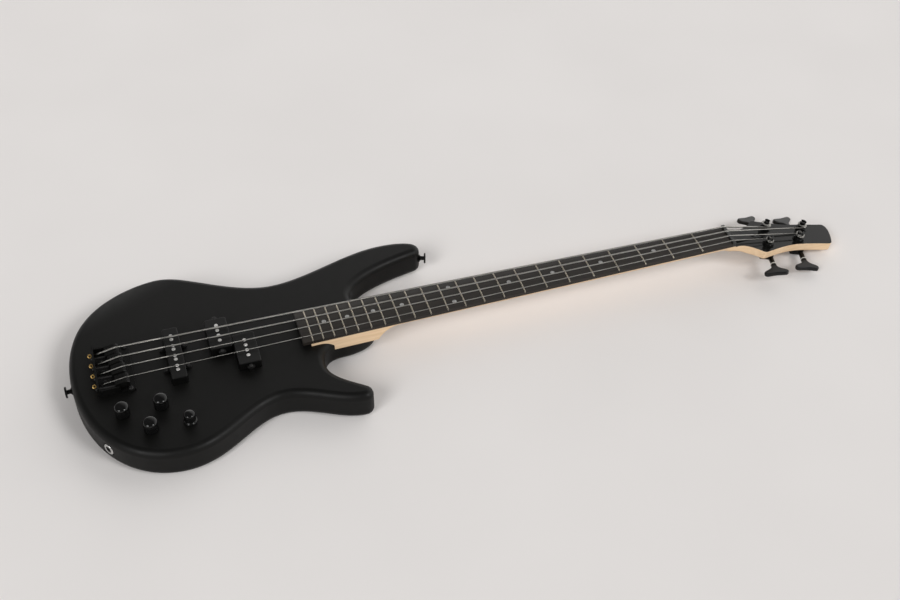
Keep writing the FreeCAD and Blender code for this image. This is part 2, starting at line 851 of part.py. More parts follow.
def dot_plugs(above):
    """Round plugs of the face dots and of the dots on the bass edge, standing proud by a margin."""
    plugs = []
    for x, y in dot_places():
        plugs.append(pillar(dot_radius, x, y, board_crown - dot_depth, board_crown + above))
    for x in sorted({x for x, y in dot_places()}):
        edge = neck_half_width(x)
        level = (board_bottom + board_crown) / 2
        inner = Vector(x, edge - side_dot_depth, level)
        plugs.append(rod(side_dot_radius, inner, Vector(x, edge + above, level)))
    return plugs


def make_position_dots():
    slab = neck_prism(board_end, scale_length, 0, board_bottom, board_crown + 1)
    slab = slab.common(crown_cylinder(board_radius))
    return Part.makeCompound([plug.common(slab) for plug in dot_plugs(0.5)])


def make_nut():
    half = neck_width_nut / 2
    block = box(scale_length, nut_front, -half, half, board_bottom, board_crown + 10)
    top = string_level_nut + nut_cover - board_axis_z
    block = block.common(crown_cylinder(top))
    grooves = []
    for index, diameter in enumerate(string_diameters):
        here = nut_point(index)
        before = (saddle_point(index) - here).normalize()
        after = (winding_entry(index) - here).normalize()
        radius = diameter / 2 + string_clearance
        groove = rod(radius, here - before, here + before * 12)
        groove = groove.fuse(rod(radius, here - after, here + after * 12))
        slot = groove.fuse([placed(groove, upright(0, 0, lift)) for lift in (1.2, 2.4)])
        grooves.append(slot)
    return block.cut(grooves)


def make_truss_rod():
    level = board_bottom - rod_channel_depth + rod_radius + 0.05
    bar = rod(rod_radius, Vector(neck_heel_end + 6.5, 0, level), Vector(nut_front - 1, 0, level))
    nut_axis = -rod_nut_radius - 0.6
    nut = rod(rod_nut_radius, Vector(1.5, 0, nut_axis), Vector(1.5 + rod_nut_length, 0, nut_axis))
    socket = rod(2.0, Vector(rod_nut_length - 5, 0, nut_axis), Vector(40, 0, nut_axis))
    neck_end = head_frame.multVec(Vector(2.5, 0, nut_axis))
    link = rod(rod_radius * 0.8, Vector(nut_front - 3, 0, level), neck_end)
    return bar.fuse([link, placed(nut.cut(socket), head_frame)])


def rod_cover_screw_places():
    side = rod_cover_width / 2 - 2.8
    return ((6.5, side), (6.5, -side), (rod_cover_length - 5.0, 0.0))


def make_truss_rod_cover():
    half = rod_cover_width / 2
    tip = rod_cover_tip_width / 2
    knots = [(2.0, -half + 2, -90, 0.4, 0.4), (4.0, -half, 0, 0.4, 0.43),
             (rod_cover_length - 8, -tip, 0, 0.37, 0.42), (rod_cover_length, 0, 90, 0.37, 0.37),
             (rod_cover_length - 8, tip, 180, 0.42, 0.37), (4.0, half, 180, 0.43, 0.4),
             (2.0, half - 2, -90, 0.4, 0.375)]
    plate = knot_face(knots).extrude(Vector(0, 0, rod_cover_thickness))
    holes = [pillar(small_screw_radius, u, v, -1, 5) for u, v in rod_cover_screw_places()]
    return placed(plate.cut(holes), head_frame)


def make_neck_screws():
    bolts = []
    for x, y in neck_bolt_places():
        grip = pocket_floor + neck_bolt_grip - neck_bolt_head_height
        bolt = screw(neck_bolt_radius, grip, neck_bolt_head_radius, neck_bolt_head_height)
        bolts.append(placed(bolt, upside_down(x, y, neck_bolt_head_height)))
    return Part.makeCompound(bolts)


def make_neck_ferrules():
    ferrules = []
    for x, y in neck_bolt_places():
        ring = pillar(ferrule_radius, x, y, 0, ferrule_height)
        head_room = pillar(neck_bolt_head_radius + bolt_clearance, x, y, -1, neck_bolt_head_height)
        hole = pillar(neck_bolt_radius + bolt_clearance, x, y, -1, ferrule_height + 1)
        ferrules.append(ring.cut([head_room, hole]))
    return Part.makeCompound(ferrules)


def make_bridge_plate():
    half = bridge_half_width
    plate = box(-bridge_rear, bridge_front, -half, half, body_thickness, bridge_top)
    wall = box(-bridge_rear, -bridge_rear + bridge_wall_thickness, -half, half, body_thickness,
               body_thickness + bridge_wall_height)
    rails = [box(-bridge_rear, bridge_rail_front, side * half - bridge_wall_thickness * (side > 0),
                 side * half + bridge_wall_thickness * (side < 0), body_thickness,
                 bridge_top + bridge_rail_height) for side in (-1, 1)]
    lugs = [pillar(bridge_lug_radius, x, y, body_thickness, bridge_top)
            for x, y in bridge_screw_places()[3:]]
    bridge = plate.fuse([wall] + rails + lugs).removeSplitter()
    tools = [pillar(bridge_screw_radius + bolt_clearance, x, y, body_thickness - 1, bridge_top + 1)
             for x, y in bridge_screw_places()]
    for index, diameter in enumerate(string_diameters):
        anchor = anchor_point(index)
        along = (saddle_point(index) - anchor).normalize()
        tools.append(rod(diameter / 2 + string_clearance, anchor - along * 5, anchor + along * 8))
        screw_y = anchor.y - intonation_offset
        level = body_thickness + intonation_rise
        tools.append(rod(intonation_radius + thread_clearance, Vector(-bridge_rear - 1, screw_y, level),
                         Vector(-bridge_rear + bridge_wall_thickness + 1, screw_y, level)))
    return bridge.cut(tools)


def make_bridge_screws():
    one = screw(bridge_screw_radius, bridge_screw_grip, bridge_screw_head_radius, bridge_screw_head_height)
    return Part.makeCompound([placed(one, upright(x, y, bridge_top)) for x, y in bridge_screw_places()])


def make_intonation_screws():
    screws = []
    for index in range(4):
        across = anchor_point(index).y - intonation_offset
        start = Vector(-bridge_rear, across, body_thickness + intonation_rise)
        length = bridge_rear - saddle_setback[index] - intonation_end_gap
        one = screw(intonation_radius, length, intonation_head_radius, intonation_head_height)
        screws.append(placed(one, Placement(start, Rotation(Vector(0, 1, 0), -90))))
    return Part.makeCompound(screws)


def make_saddle(index):
    contact = saddle_point(index)
    radius = string_diameters[index] / 2
    top = contact.z - radius + saddle_cover
    bottom = bridge_top + saddle_ground_gap
    rear_drop = (contact - anchor_point(index)).normalize().z * saddle_rear_length
    profile = ((-saddle_rear_length, bottom), (saddle_front_length, bottom),
               (saddle_front_length, top - saddle_front_drop), (saddle_crown, top),
               (-saddle_crown, top), (-saddle_rear_length, top - rear_drop))
    corners = [Vector(contact.x + x, contact.y - saddle_width / 2, z) for x, z in profile]
    block = Part.Face(Part.makePolygon(corners + corners[:1])).extrude(Vector(0, saddle_width, 0))
    before = (anchor_point(index) - contact).normalize()
    after = (nut_point(index) - contact).normalize()
    grooves = [rod(radius + string_clearance, contact - before, contact + before * 30),
               rod(radius + string_clearance, contact - after, contact + after * 30)]
    grooves += [placed(groove, upright(0, 0, radius)) for groove in grooves]
    holes = [pillar(height_screw_radius + thread_clearance, x, y, bottom - 1, top + 2)
             for x, y in height_screw_places(index)]
    tunnel_y = contact.y - intonation_offset
    tunnel_z = body_thickness + intonation_rise
    tunnel = rod(intonation_radius + thread_clearance, Vector(contact.x - 30, tunnel_y, tunnel_z),
                 Vector(contact.x - 0.5, tunnel_y, tunnel_z))
    return block.cut(grooves + holes + [tunnel])


def height_screw_places(index):
    contact = saddle_point(index)
    return [(contact.x + height_screw_station, contact.y + side * height_screw_offset) for side in (-1, 1)]


def make_height_screws(index):
    contact = saddle_point(index)
    top = contact.z - string_diameters[index] / 2 + 1.2
    foot = bridge_top + foot_gap
    screws = []
    for x, y in height_screw_places(index):
        grub = pillar(height_screw_radius, x, y, foot, top)
        socket = pillar(height_screw_radius * 0.5, x, y, top - 1.5, top + 1)
        screws.append(grub.cut(socket))
    return Part.makeCompound(screws)


def make_ball_ends():
    balls = []
    for index in range(4):
        anchor = anchor_point(index)
        center = Vector(anchor.x - ball_radius, anchor.y, anchor.z)
        axis = Rotation(Vector(1, 0, 0), ball_tilts[index]).multVec(Vector(0, 0, 1))
        barrel = rod(ball_radius, center - axis * ball_length / 2, center + axis * ball_length / 2)
        barrel = barrel.makeFillet(0.8, [edge for edge in barrel.Edges if edge.Closed and edge.Length < 40])
        hole = rod(ball_hole_radius, center - axis * ball_length, center + axis * ball_length)
        balls.append(barrel.cut(hole))
    return Part.makeCompound(balls)


def winding_radius(index):
    return post_radius + string_diameters[index] / 2 + string_clearance


def post_local(index):
    """Post axis and winding direction on the headstock face: place, and +1 for a left-hand turn."""
    along, across, side = tuner_places[index]
    return Vector(along, across, 0), side


def winding_entry(index):
    """Point where the straight string first touches its winding circle."""
    center, side = post_local(index)
    nut = head_frame.inverse().multVec(nut_point(index))
    gap = Vector(nut.x - center.x, nut.y - center.y, 0)
    swing = side * math.degrees(math.acos(winding_radius(index) / gap.Length))
    spoke = Rotation(Vector(0, 0, 1), swing).multVec(gap.normalize()) * winding_radius(index)
    return head_frame.multVec(center + spoke + Vector(0, 0, winding_start))


def biarc(start, start_way, end, end_way):
    """Two arcs that join two points and keep both directions."""
    span = end - start
    ways = start_way + end_way
    slack = 2 * (1 - start_way.dot(end_way))
    reach = (-span.dot(ways) + math.sqrt(span.dot(ways) ** 2 + slack * span.dot(span))) / slack
    ahead = end - end_way * reach
    joint = (start + start_way * reach + ahead) * 0.5
    return [tangent_arc(start, start_way, joint), tangent_arc(joint, (ahead - joint).normalize(), end)]


def tangent_arc(start, way, end):
    """Arc from a point in a given direction to another point."""
    chord = end - start
    side = chord - way * chord.dot(way)
    radius = chord.dot(chord) / (2 * side.Length)
    center = start + side.normalize() * radius
    middle = (start + end) * 0.5 - center
    return Part.Arc(start, center + middle.normalize() * radius, end)


def corner_arc(before, corner, after, radius):
    """Arc that rounds the corner of two straight runs."""
    back = (before - corner).normalize()
    ahead = (after - corner).normalize()
    half = back.getAngle(ahead) / 2
    reach = radius / math.tan(half)
    start = corner + back * reach
    end = corner + ahead * reach
    bisector = (back + ahead).normalize()
    middle = corner + bisector * (radius / math.sin(half) - radius)
    return Part.Arc(start, middle, end)


def winding_curves(index, arrival):
    """Turns of a string round its post and the tuck of its end into the post's slot."""
    center, side = post_local(index)
    radius = winding_radius(index)
    pitch = string_diameters[index] + winding_gap
    entry = head_frame.inverse().multVec(winding_entry(index)) - center
    first = math.atan2(entry.y, entry.x)
    into_head = head_frame.Rotation
    slope = pitch / (2 * math.pi * radius)
    curves = []
    point = winding_entry(index)
    way = arrival
    for quarter in range(1, winding_turns[index] * 4 + 1):
        angle = first + side * quarter * math.pi / 2
        rise = winding_start + pitch * quarter / 4
        spoke = Vector(math.cos(angle), math.sin(angle), 0)
        next_way = Vector(-side * spoke.y, side * spoke.x, slope).normalize()
        next_point = head_frame.multVec(center + spoke * radius + Vector(0, 0, rise))
        next_way = into_head.multVec(next_way)
        curves += biarc(point, way, next_point, next_way)
        point = next_point
        way = next_way
    inward = into_head.multVec(spoke) * -1
    tuck = max(string_diameters[index] * 1.03, tuck_radius_least)
    turn = math.acos(-tuck / (radius - tuck))
    hub = point + inward * tuck
    ends = [hub - inward * tuck * math.cos(part) + way * tuck * math.sin(part) for part in (turn / 2, turn)]
    curves.append(Part.Arc(point, ends[0], ends[1]))
    last_way = (inward * math.sin(turn) + way * math.cos(turn)).normalize()
    curves.append(Part.LineSegment(ends[1], ends[1] + last_way * tuck_straight))
    return curves


def string_curves(index):
    """Whole route of a string: ball end, saddle, nut, post windings and tucked end."""
    saddle = saddle_point(index)
    anchor = string_start(index)
    nut = nut_point(index)
    entry = winding_entry(index)
    over_saddle = corner_arc(anchor, saddle, nut, string_break_radius)
    over_nut = corner_arc(saddle, nut, entry, string_break_radius)
    curves = [Part.LineSegment(anchor, over_saddle.StartPoint), over_saddle,
              Part.LineSegment(over_saddle.EndPoint, over_nut.StartPoint), over_nut,
              Part.LineSegment(over_nut.EndPoint, entry)]
    return curves + winding_curves(index, (entry - nut).normalize())


def least_gap(curves, diameter, apart):
    """Least gap of a round cord to itself, on points further apart along it than a given length."""
    points = []
    run = 0.0
    for curve in curves:
        length = curve.length()
        for step in range(12):
            along = length * step / 12
            points.append((run + along, curve.value(curve.parameterAtDistance(along))))
        run += length
    spans = [(b - a).Length for here, a in points for there, b in points if there - here > apart]
    return min(spans) - diameter


def make_string(index):
    curves = string_curves(index)
    diameter = string_diameters[index]
    turns = curves[4:]
    gap = least_gap(turns, diameter, math.pi * winding_radius(index))
    wire = Part.Wire([curve.toShape() for curve in curves])
    start = string_start(index)
    circle = Part.Wire(Part.makeCircle(diameter / 2, start, saddle_point(index) - start))
    sweep = Part.BRepOffsetAPI.MakePipeShell(wire)
    sweep.add(circle)
    sweep.build()
    sweep.makeSolid()
    cord = sweep.shape()
    ratio = cord.Volume / (math.pi * diameter ** 2 / 4 * wire.Length)
    print("string", string_names[index], "length", round(wire.Length, 1), "least gap", round(gap, 2),
          "volume over section times length", round(ratio, 4))
    return cord


def shell_cover(x, y, width, length, poles):
    """Pickup cover: thin box open below, rounded, with its pole holes."""
    bottom = body_thickness - pickup_cover_depth
    half_x = width / 2
    half_y = length / 2
    outer = rounded_bar(x - half_x, x + half_x, y - half_y, y + half_y, bottom, pickup_top, pickup_corner)
    outer = outer.makeFillet(pickup_wall * 0.6, edges_at(outer, pickup_top))
    room_x = half_x - pickup_wall
    room_y = half_y - pickup_wall
    inner = rounded_bar(x - room_x, x + room_x, y - room_y, y + room_y, bottom - 1,
                        pickup_top - pickup_wall, pickup_corner - pickup_wall)
    holes = [pillar(pole_radius, px, py, bottom, pickup_top + 1) for px, py in poles]
    return outer, [inner] + holes


def bridge_poles():
    offsets = [string_side(index) * string_spacing_bridge for index in range(4)]
    half = bridge_pole_pair_spacing / 2
    return [(bridge_pickup_station, y + side * half) for y in offsets for side in (-1, 1)]


def split_poles(station, center):
    return [(station, center + (step - 1.5) * split_pole_spacing) for step in range(4)]


def make_bridge_pickup_cover():
    outer, tools = shell_cover(bridge_pickup_station, 0, bridge_pickup_width, bridge_pickup_length,
                               bridge_poles())
    tabs = []
    for x, y in bridge_tab_places():
        top = body_thickness + bridge_tab_thickness
        tabs.append(pillar(bridge_tab_radius, x, y, body_thickness, top))
        tools.append(pillar(pickup_screw_radius + bolt_clearance, x, y, body_thickness - 1, top + 1))
    return outer.fuse(tabs).cut(tools)


def make_split_cover(station, center):
    outer, tools = shell_cover(station, center, split_width, split_length, split_poles(station, center))
    tabs = []
    bottom = body_thickness + split_tab_rise
    for x, y in split_tab_places():
        if abs(x - station) < 1:
            tabs.append(pillar(split_tab_radius, x, y, bottom, bottom + split_tab_thickness))
            tools.append(pillar(pickup_screw_radius + bolt_clearance, x, y, bottom - 1, bottom + 9))
    return outer.fuse(tabs).cut(tools)


def pole_groups():
    return (bridge_poles(), split_poles(split_bass_station, split_center),
            split_poles(split_treble_station, -split_center))


def make_pole_pieces():
    top = pickup_top + pole_rise
    poles = []
    for group in pole_groups():
        for x, y in group:
            pole = pillar(pole_radius, x, y, top - pole_length, top)
            poles.append(pole.makeFillet(0.4, edges_at(pole, top)))
    return Part.makeCompound(poles)


def make_pickup_coils():
    """One flat oval winding on its bobbin round each row of poles."""
    top = pickup_top - pickup_wall
    bottom = pickup_top + pole_rise - pole_length
    coils = []
    for group in pole_groups():
        x = group[0][0]
        first = min(y for px, y in group)
        last = max(y for px, y in group)
        reach = pole_radius + coil_wall
        block = rounded_bar(x - reach, x + reach, first - reach, last + reach, bottom, top, reach * 0.9)
        block = block.cut([pillar(pole_radius, px, y, bottom - 1, top + 1) for px, y in group])
        coils.append(block)
    return Part.makeCompound(coils)


def make_pickup_screws():
    screws = []
    for x, y in bridge_tab_places():
        one = screw(pickup_screw_radius, pickup_screw_grip + bridge_tab_thickness, pickup_screw_head_radius,
                    pickup_screw_head_height)
        screws.append(placed(one, upright(x, y, body_thickness + bridge_tab_thickness)))
    for x, y in split_tab_places():
        seat = split_tab_rise + split_tab_thickness
        one = screw(pickup_screw_radius, pickup_screw_grip + seat, pickup_screw_head_radius,
                    pickup_screw_head_height)
        screws.append(placed(one, upright(x, y, body_thickness + seat)))
    return Part.makeCompound(screws)


def make_pickup_sleeves():
    sleeves = []
    for x, y in split_tab_places():
        inner = pickup_screw_radius + bolt_clearance
        low = Vector(x, y, body_thickness)
        high = Vector(x, y, body_thickness + split_tab_rise)
        sleeves.append(rod(inner + sleeve_wall, low, high).cut(rod(inner, low, high)))
    return Part.makeCompound(sleeves)


def make_potentiometers():
    """Round cans hung under the top of the body by a threaded bush and a nut."""
    pots = []
    for x, y in knob_places:
        can = pillar(pot_radius, x, y, pot_seat - pot_height, pot_seat)
        bush = pillar(pot_bush_radius, x, y, pot_seat, body_thickness + pot_bush_rise)
        bore = pillar(pot_shaft_radius + pot_shaft_clearance, x, y, pot_seat - pot_height + 2,
                      body_thickness + pot_bush_rise + 1)
        pots.append(can.fuse(bush).cut(bore))
        nut = hexagon(pot_nut_radius, x, y, body_thickness, body_thickness + pot_nut_height)
        pots.append(nut.cut(bush))
    return Part.makeCompound(pots)


def knob_size(index):
    if knob_names[index] == "boost_knob":
        return small_knob_radius, small_knob_height
    return large_knob_radius, large_knob_height


def make_knob(index):
    x, y = knob_places[index]
    radius, height = knob_size(index)
    base = body_thickness + knob_ground_gap
    top = base + height
    rim = top - knob_dome
    profile = [Vector(0, 0, base), Vector(radius, 0, base), Vector(radius, 0, rim)]
    edges = [Part.LineSegment(a, b).toShape() for a, b in zip(profile, profile[1:])]
    crown = Part.Arc(profile[-1], Vector(radius * 0.55, 0, rim + knob_dome * 0.72), Vector(0, 0, top))
    edges += [crown.toShape(), Part.LineSegment(Vector(0, 0, top), profile[0]).toShape()]
    solid = Part.Face(Part.Wire(edges)).revolve(Vector(0, 0, 0), Vector(0, 0, 1), 360)
    solid = solid.makeFillet(knob_edge_radius, edges_at(solid, rim))
    if knob_names[index] == "boost_knob":
        flange = pillar(small_knob_flange_radius, 0, 0, base, base + small_knob_flange_height)
        solid = solid.fuse(flange).removeSplitter()
    recess = pillar(knob_recess_radius, 0, 0, base - 1, base + knob_recess_depth)
    bore = pillar(pot_shaft_radius, 0, 0, base - 1, top - knob_bore_top_gap)
    return placed(solid.cut([recess, bore]), upright(x, y, 0))


def make_pot_shaft(index):
    x, y = knob_places[index]
    top = body_thickness + knob_ground_gap + knob_size(index)[1] - knob_bore_top_gap
    return pillar(pot_shaft_radius, x, y, pot_seat - pot_height + 2.1, top)


def make_control_cover():
    plate = cavity_prism(cover_flange, 0, cover_thickness)
    holes = [pillar(small_screw_radius + bolt_clearance, x, y, -1, cover_thickness + 1)
             for x, y in cover_screw_places()]
    heads = [pillar(small_screw_head_radius + bolt_clearance, x, y, -1, small_screw_head_height)
             for x, y in cover_screw_places()]
    return plate.cut(holes + heads)


def make_small_screws():
    """Small wood screws of the control cover, the truss rod cover and the tuner housings."""
    one = screw(small_screw_radius, small_screw_grip - small_screw_head_height, small_screw_head_radius,
                small_screw_head_height)
    screws = [placed(one, upside_down(x, y, small_screw_head_height)) for x, y in cover_screw_places()]
    for u, v in rod_cover_screw_places():
        screws.append(placed(placed(one, upright(u, v, rod_cover_thickness)), head_frame))
    for index in range(4):
        for x, y in housing_screw_places(index):
            seat = upside_down(x, y, -head_thickness - housing_foot_thickness)
            screws.append(placed(placed(one, seat), tuner_frame(index)))
    return Part.makeCompound(screws)


def make_output_jack():
    depth = jack_recess_depth
    flange = pillar(jack_nut_radius, 0, 0, -depth, -depth + 0.8)
    barrel = pillar(jack_barrel_radius, 0, 0, -jack_barrel_length, -depth + jack_nut_height - 0.4)
    bore = pillar(jack_bore_radius, 0, 0, -jack_bore_depth, 10)
    return placed(barrel.fuse(flange).cut(bore), jack_frame())


def make_jack_nut():
    low = -jack_recess_depth + 0.8
    high = -jack_recess_depth + jack_nut_height
    ring = pillar(jack_nut_radius, 0, 0, low, high)
    ring = ring.makeFillet(0.9, edges_at(ring, high))
    return placed(ring.cut(pillar(jack_barrel_radius, 0, 0, low - 1, high + 1)), jack_frame())


def make_battery():
    x, y = battery_corner
    length, width, height = battery_size
    low = cover_thickness
    block = rounded_bar(x, x + length, y, y + width, low, low + height, 2.0)
    middle = Vector(x + length, y + width / 2, low + height / 2)
    feet = [middle + Vector(0, side * 6.3, 0) for side in (-1, 1)]
    studs = [Part.makeCylinder(2.8, 2.0, foot, Vector(1, 0, 0)) for foot in feet]
    return block.fuse(studs)


def make_circuit_board():
    x, y = board_corner
    length, width, thickness = board_size
    top = pot_seat - pot_height
    plate = box(x, x + length, y, y + width, top - thickness, top)
    chip = box(x + 5, x + 15, y + 4, y + 11, top - thickness - 3, top - thickness)
    cans = [pillar(2.5, x + 22, y + 6 + 8 * step, top - thickness - 7, top - thickness)
            for step in range(2)]
    return plate.fuse([chip] + cans)


def wire_routes():
    """Routes of the pickup leads to the two volume potentiometers."""
    pot_bottom = pot_seat - pot_height
    level = pickup_cavity_floor + 4
    coil_bottom = pickup_top + pole_rise - pole_length
    split_y = -split_center - 12
    lead_x = bridge_pickup_station - 4
    run = pot_bottom - 4
    split_run = cavity_inner - 28
    bridge_x, bridge_y = knob_places[1]
    split_x, split_y_knob = knob_places[0]
    bridge_lead = [Vector(lead_x - wire_spread, -28, coil_bottom),
                   Vector(lead_x - wire_spread, -28, level),
                   Vector(lead_x - wire_spread, cavity_inner - 10, level),
                   Vector(bridge_x, bridge_y, run),
                   Vector(bridge_x, bridge_y, pot_bottom)]
    split_lead = [Vector(split_treble_station, split_y, coil_bottom),
                  Vector(split_treble_station, split_y, level),
                  Vector(lead_x + wire_spread, split_y, level),
                  Vector(lead_x + wire_spread, cavity_inner - 5, level),
                  Vector(lead_x - 8, split_run, level - 2),
                  Vector(split_x, split_run, level - 2),
                  Vector(split_x, split_y_knob, run),
                  Vector(split_x, split_y_knob, pot_bottom)]
    return bridge_lead, split_lead


def make_wire(points):
    edges = []
    start = points[0]
    for before, corner, after in zip(points, points[1:], points[2:]):
        bend = corner_arc(before, corner, after, wire_bend)
        edges.append(Part.LineSegment(start, bend.StartPoint).toShape())
        edges.append(bend.toShape())
        start = bend.EndPoint
    edges.append(Part.LineSegment(start, points[-1]).toShape())
    sweep = Part.BRepOffsetAPI.MakePipeShell(Part.Wire(edges))
    sweep.add(Part.Wire(Part.makeCircle(wire_radius, points[0], points[1] - points[0])))
    sweep.build()
    sweep.makeSolid()
    return sweep.shape()


def make_wiring():
    return Part.makeCompound([make_wire(route) for route in wire_routes()])


def make_strap_buttons():
    neck_top = strap_flange_height + strap_neck_length
    top = neck_top + strap_head_height
    button = Part.makeCone(strap_flange_radius, strap_neck_radius, strap_flange_height)
    button = button.fuse(pillar(strap_neck_radius, 0, 0, 0, top))
    head = pillar(strap_head_radius, 0, 0, neck_top, top)
    button = button.fuse(head.makeFillet(strap_head_height * 0.4, edges_at(head, top)))
    seat = top - 1.6
    button = button.cut([pillar(strap_screw_head_radius + bolt_clearance, 0, 0, seat, top + 1),
                         pillar(strap_screw_radius + bolt_clearance, 0, 0, -1, top)])
    fixing = screw(strap_screw_radius, strap_screw_grip + seat, strap_screw_head_radius, 1.6)
    pieces = (button, placed(fixing, upright(0, 0, seat)))
    return Part.makeCompound([placed(piece, frame) for frame in strap_frames() for piece in pieces])


def worm_side(index):
    """Offset of the worm axis from the post, across the tuner frame: always towards the tip."""
    return -tuner_places[index][2] * worm_offset


def housing_span(index):
    """Extent of a tuner housing across its frame."""
    worm = worm_side(index)
    sign = math.copysign(1, worm)
    ends = sorted((-sign * housing_back, worm + sign * housing_worm_side))
    return ends[0], ends[1]


def housing_screw_places(index):
    """One fixing screw through the foot on the inner end of the housing."""
    low, high = housing_span(index)
    return ((-housing_inner - housing_foot_reach / 2 - 1, (low + high) / 2),)


def make_tuner_housing(index):
    low, high = housing_span(index)
    seat = -head_thickness
    back = seat - housing_depth
    worm = worm_side(index)
    case = rounded_bar(-housing_inner, housing_outer, low, high, back, seat, housing_rounding)
    case = case.makeFillet(housing_rounding * 0.7, edges_at(case, back))
    foot_x, foot_y = housing_screw_places(index)[0]
    foot = pillar(housing_foot_reach, foot_x, foot_y, seat - housing_foot_thickness, seat)
    tube = rod(key_tube_radius, Vector(0, worm, worm_level), Vector(key_tube_end, worm, worm_level))
    gear_room = pillar(gear_radius + 0.9, 0, 0, worm_level - gear_height / 2 - 0.3, seat - housing_wall)
    worm_room = rod(worm_radius + 0.5, Vector(-housing_inner + housing_wall, worm, worm_level),
                    Vector(housing_outer - housing_wall, worm, worm_level))
    post_hole = pillar(post_radius + post_clearance, 0, 0, seat - 3, seat + 1)
    shaft_hole = rod(key_shaft_radius + post_clearance, Vector(0, worm, worm_level),
                     Vector(40, worm, worm_level))
    pilot = pillar(small_screw_radius + bolt_clearance, foot_x, foot_y, back, seat + 1)
    case = case.fuse([foot, tube]).cut([gear_room, worm_room, post_hole, shaft_hole, pilot])
    return placed(case, tuner_frame(index))


def make_tuner_bushing(index):
    washer = pillar(bushing_washer_radius, 0, 0, 0, bushing_washer_height)
    collar = hexagon(bushing_hex_radius, 0, 0, bushing_washer_height, bushing_height)
    cone = Part.makeCone(bushing_hex_radius + 1.2, bushing_hex_radius - 1.4,
                         bushing_height - bushing_washer_height, Vector(0, 0, bushing_washer_height))
    sleeve = pillar(bushing_sleeve_radius, 0, 0, -bushing_sleeve_depth, bushing_washer_height)
    bore = pillar(post_radius + post_clearance, 0, 0, -30, 30)
    return placed(washer.fuse([collar.common(cone), sleeve]).cut(bore), tuner_frame(index))


def slot_heading(index):
    """Direction of the slot in a post, along the tucked end of its string, in the tuner frame."""
    curves = winding_curves(index, (winding_entry(index) - nut_point(index)).normalize())
    way = curves[-1].EndPoint - curves[-1].StartPoint
    local = tuner_frame(index).Rotation.inverted().multVec(way)
    return math.degrees(math.atan2(local.y, local.x))


def make_tuner_post(index):
    """Slotted post with the gear wheel fixed on its lower end."""
    foot = worm_level - gear_height / 2
    post = pillar(post_radius, 0, 0, foot, post_top)
    cap = pillar(post_cap_radius, 0, 0, post_top - post_cap_height, post_top)
    cap = cap.makeFillet(0.7, edges_at(cap, post_top))
    diameter = string_diameters[index]
    tuck = max(diameter * 1.03, tuck_radius_least)
    half = tuck * 0.5 + diameter / 2 + string_clearance
    pitch = diameter + winding_gap
    floor = winding_start + pitch * winding_turns[index] - diameter / 2 - 0.5
    slot = box(-post_cap_radius - 1, post_cap_radius + 1, -half, half, floor, post_top + 1)
    slot = placed(slot, Placement(Vector(0, 0, 0), Rotation(Vector(0, 0, 1), slot_heading(index))))
    spindle = post.fuse(cap).cut(slot)
    teeth = []
    for step in range(gear_teeth * 2):
        radius = gear_radius - gear_tooth_depth * (step % 2)
        angle = math.pi * step / gear_teeth
        teeth.append((radius * math.cos(angle), radius * math.sin(angle)))
    gear = prism(teeth, foot, foot + gear_height).cut(post)
    return placed(Part.makeCompound([spindle, gear]), tuner_frame(index))


def make_tuner_key(index):
    """Whale-tail key on its worm shaft, with the light washer behind it."""
    worm = worm_side(index)
    start = key_tube_end + key_washer_thickness + 2 * key_washer_gap
    end = start + key_length
    half = key_half_width
    lobe = key_lobe_width / 2
    knots = [(start, -key_stem_radius, 0, 0, 0.55), (end - 2.3 * lobe, -half + 1.1 * lobe, -58, 0.3, 0.33),
             (end - 1.15 * lobe, -half, 0, 0.4, 0.4), (end - 0.1 * lobe, -half + lobe, 92, 0.4, 0.33),
             (end - 0.3 * lobe, 0, 90, 0.33, 0.33),
             (end - 0.1 * lobe, half - lobe, 88, 0.33, 0.4), (end - 1.15 * lobe, half, 180, 0.4, 0.4),
             (end - 2.3 * lobe, half - 1.1 * lobe, 238, 0.33, 0.3), (start, key_stem_radius, 180, 0.55, 0)]
    blade = cut_off_face(knots).extrude(Vector(0, 0, key_thickness))
    blade.translate(Vector(0, 0, -key_thickness / 2))
    flat = edges_at(blade, key_thickness / 2) + edges_at(blade, -key_thickness / 2)
    rim = [edge for edge in flat if edge.BoundBox.XMax > start + 0.01]
    blade = blade.makeFillet(key_edge_radius, rim)
    collar = rod(key_collar_radius, Vector(start, 0, 0), Vector(start + key_collar_length, 0, 0))
    seat = rod(key_shaft_radius, Vector(start - 1, 0, 0), Vector(start + key_shaft_seat, 0, 0))
    key = blade.fuse(collar).cut(seat)
    worm_end = -housing_inner + housing_wall + 0.3
    shoulder = Vector(housing_outer - housing_wall - 0.3, 0, 0)
    shaft = rod(key_shaft_radius, shoulder, Vector(start + key_shaft_seat, 0, 0))
    shaft = shaft.fuse(rod(worm_radius, Vector(worm_end, 0, 0), shoulder))
    turn = Rotation(Vector(1, 0, 0), -tuner_places[index][2] * key_rest_turn[index])
    turned = Placement(Vector(0, worm, worm_level), turn)
    washer_start = Vector(key_tube_end + key_washer_gap, 0, 0)
    washer_end = washer_start + Vector(key_washer_thickness, 0, 0)
    washer = rod(key_washer_radius, washer_start, washer_end).cut(shaft)
    return placed(placed(Part.makeCompound([key, shaft, washer]), turned), tuner_frame(index))


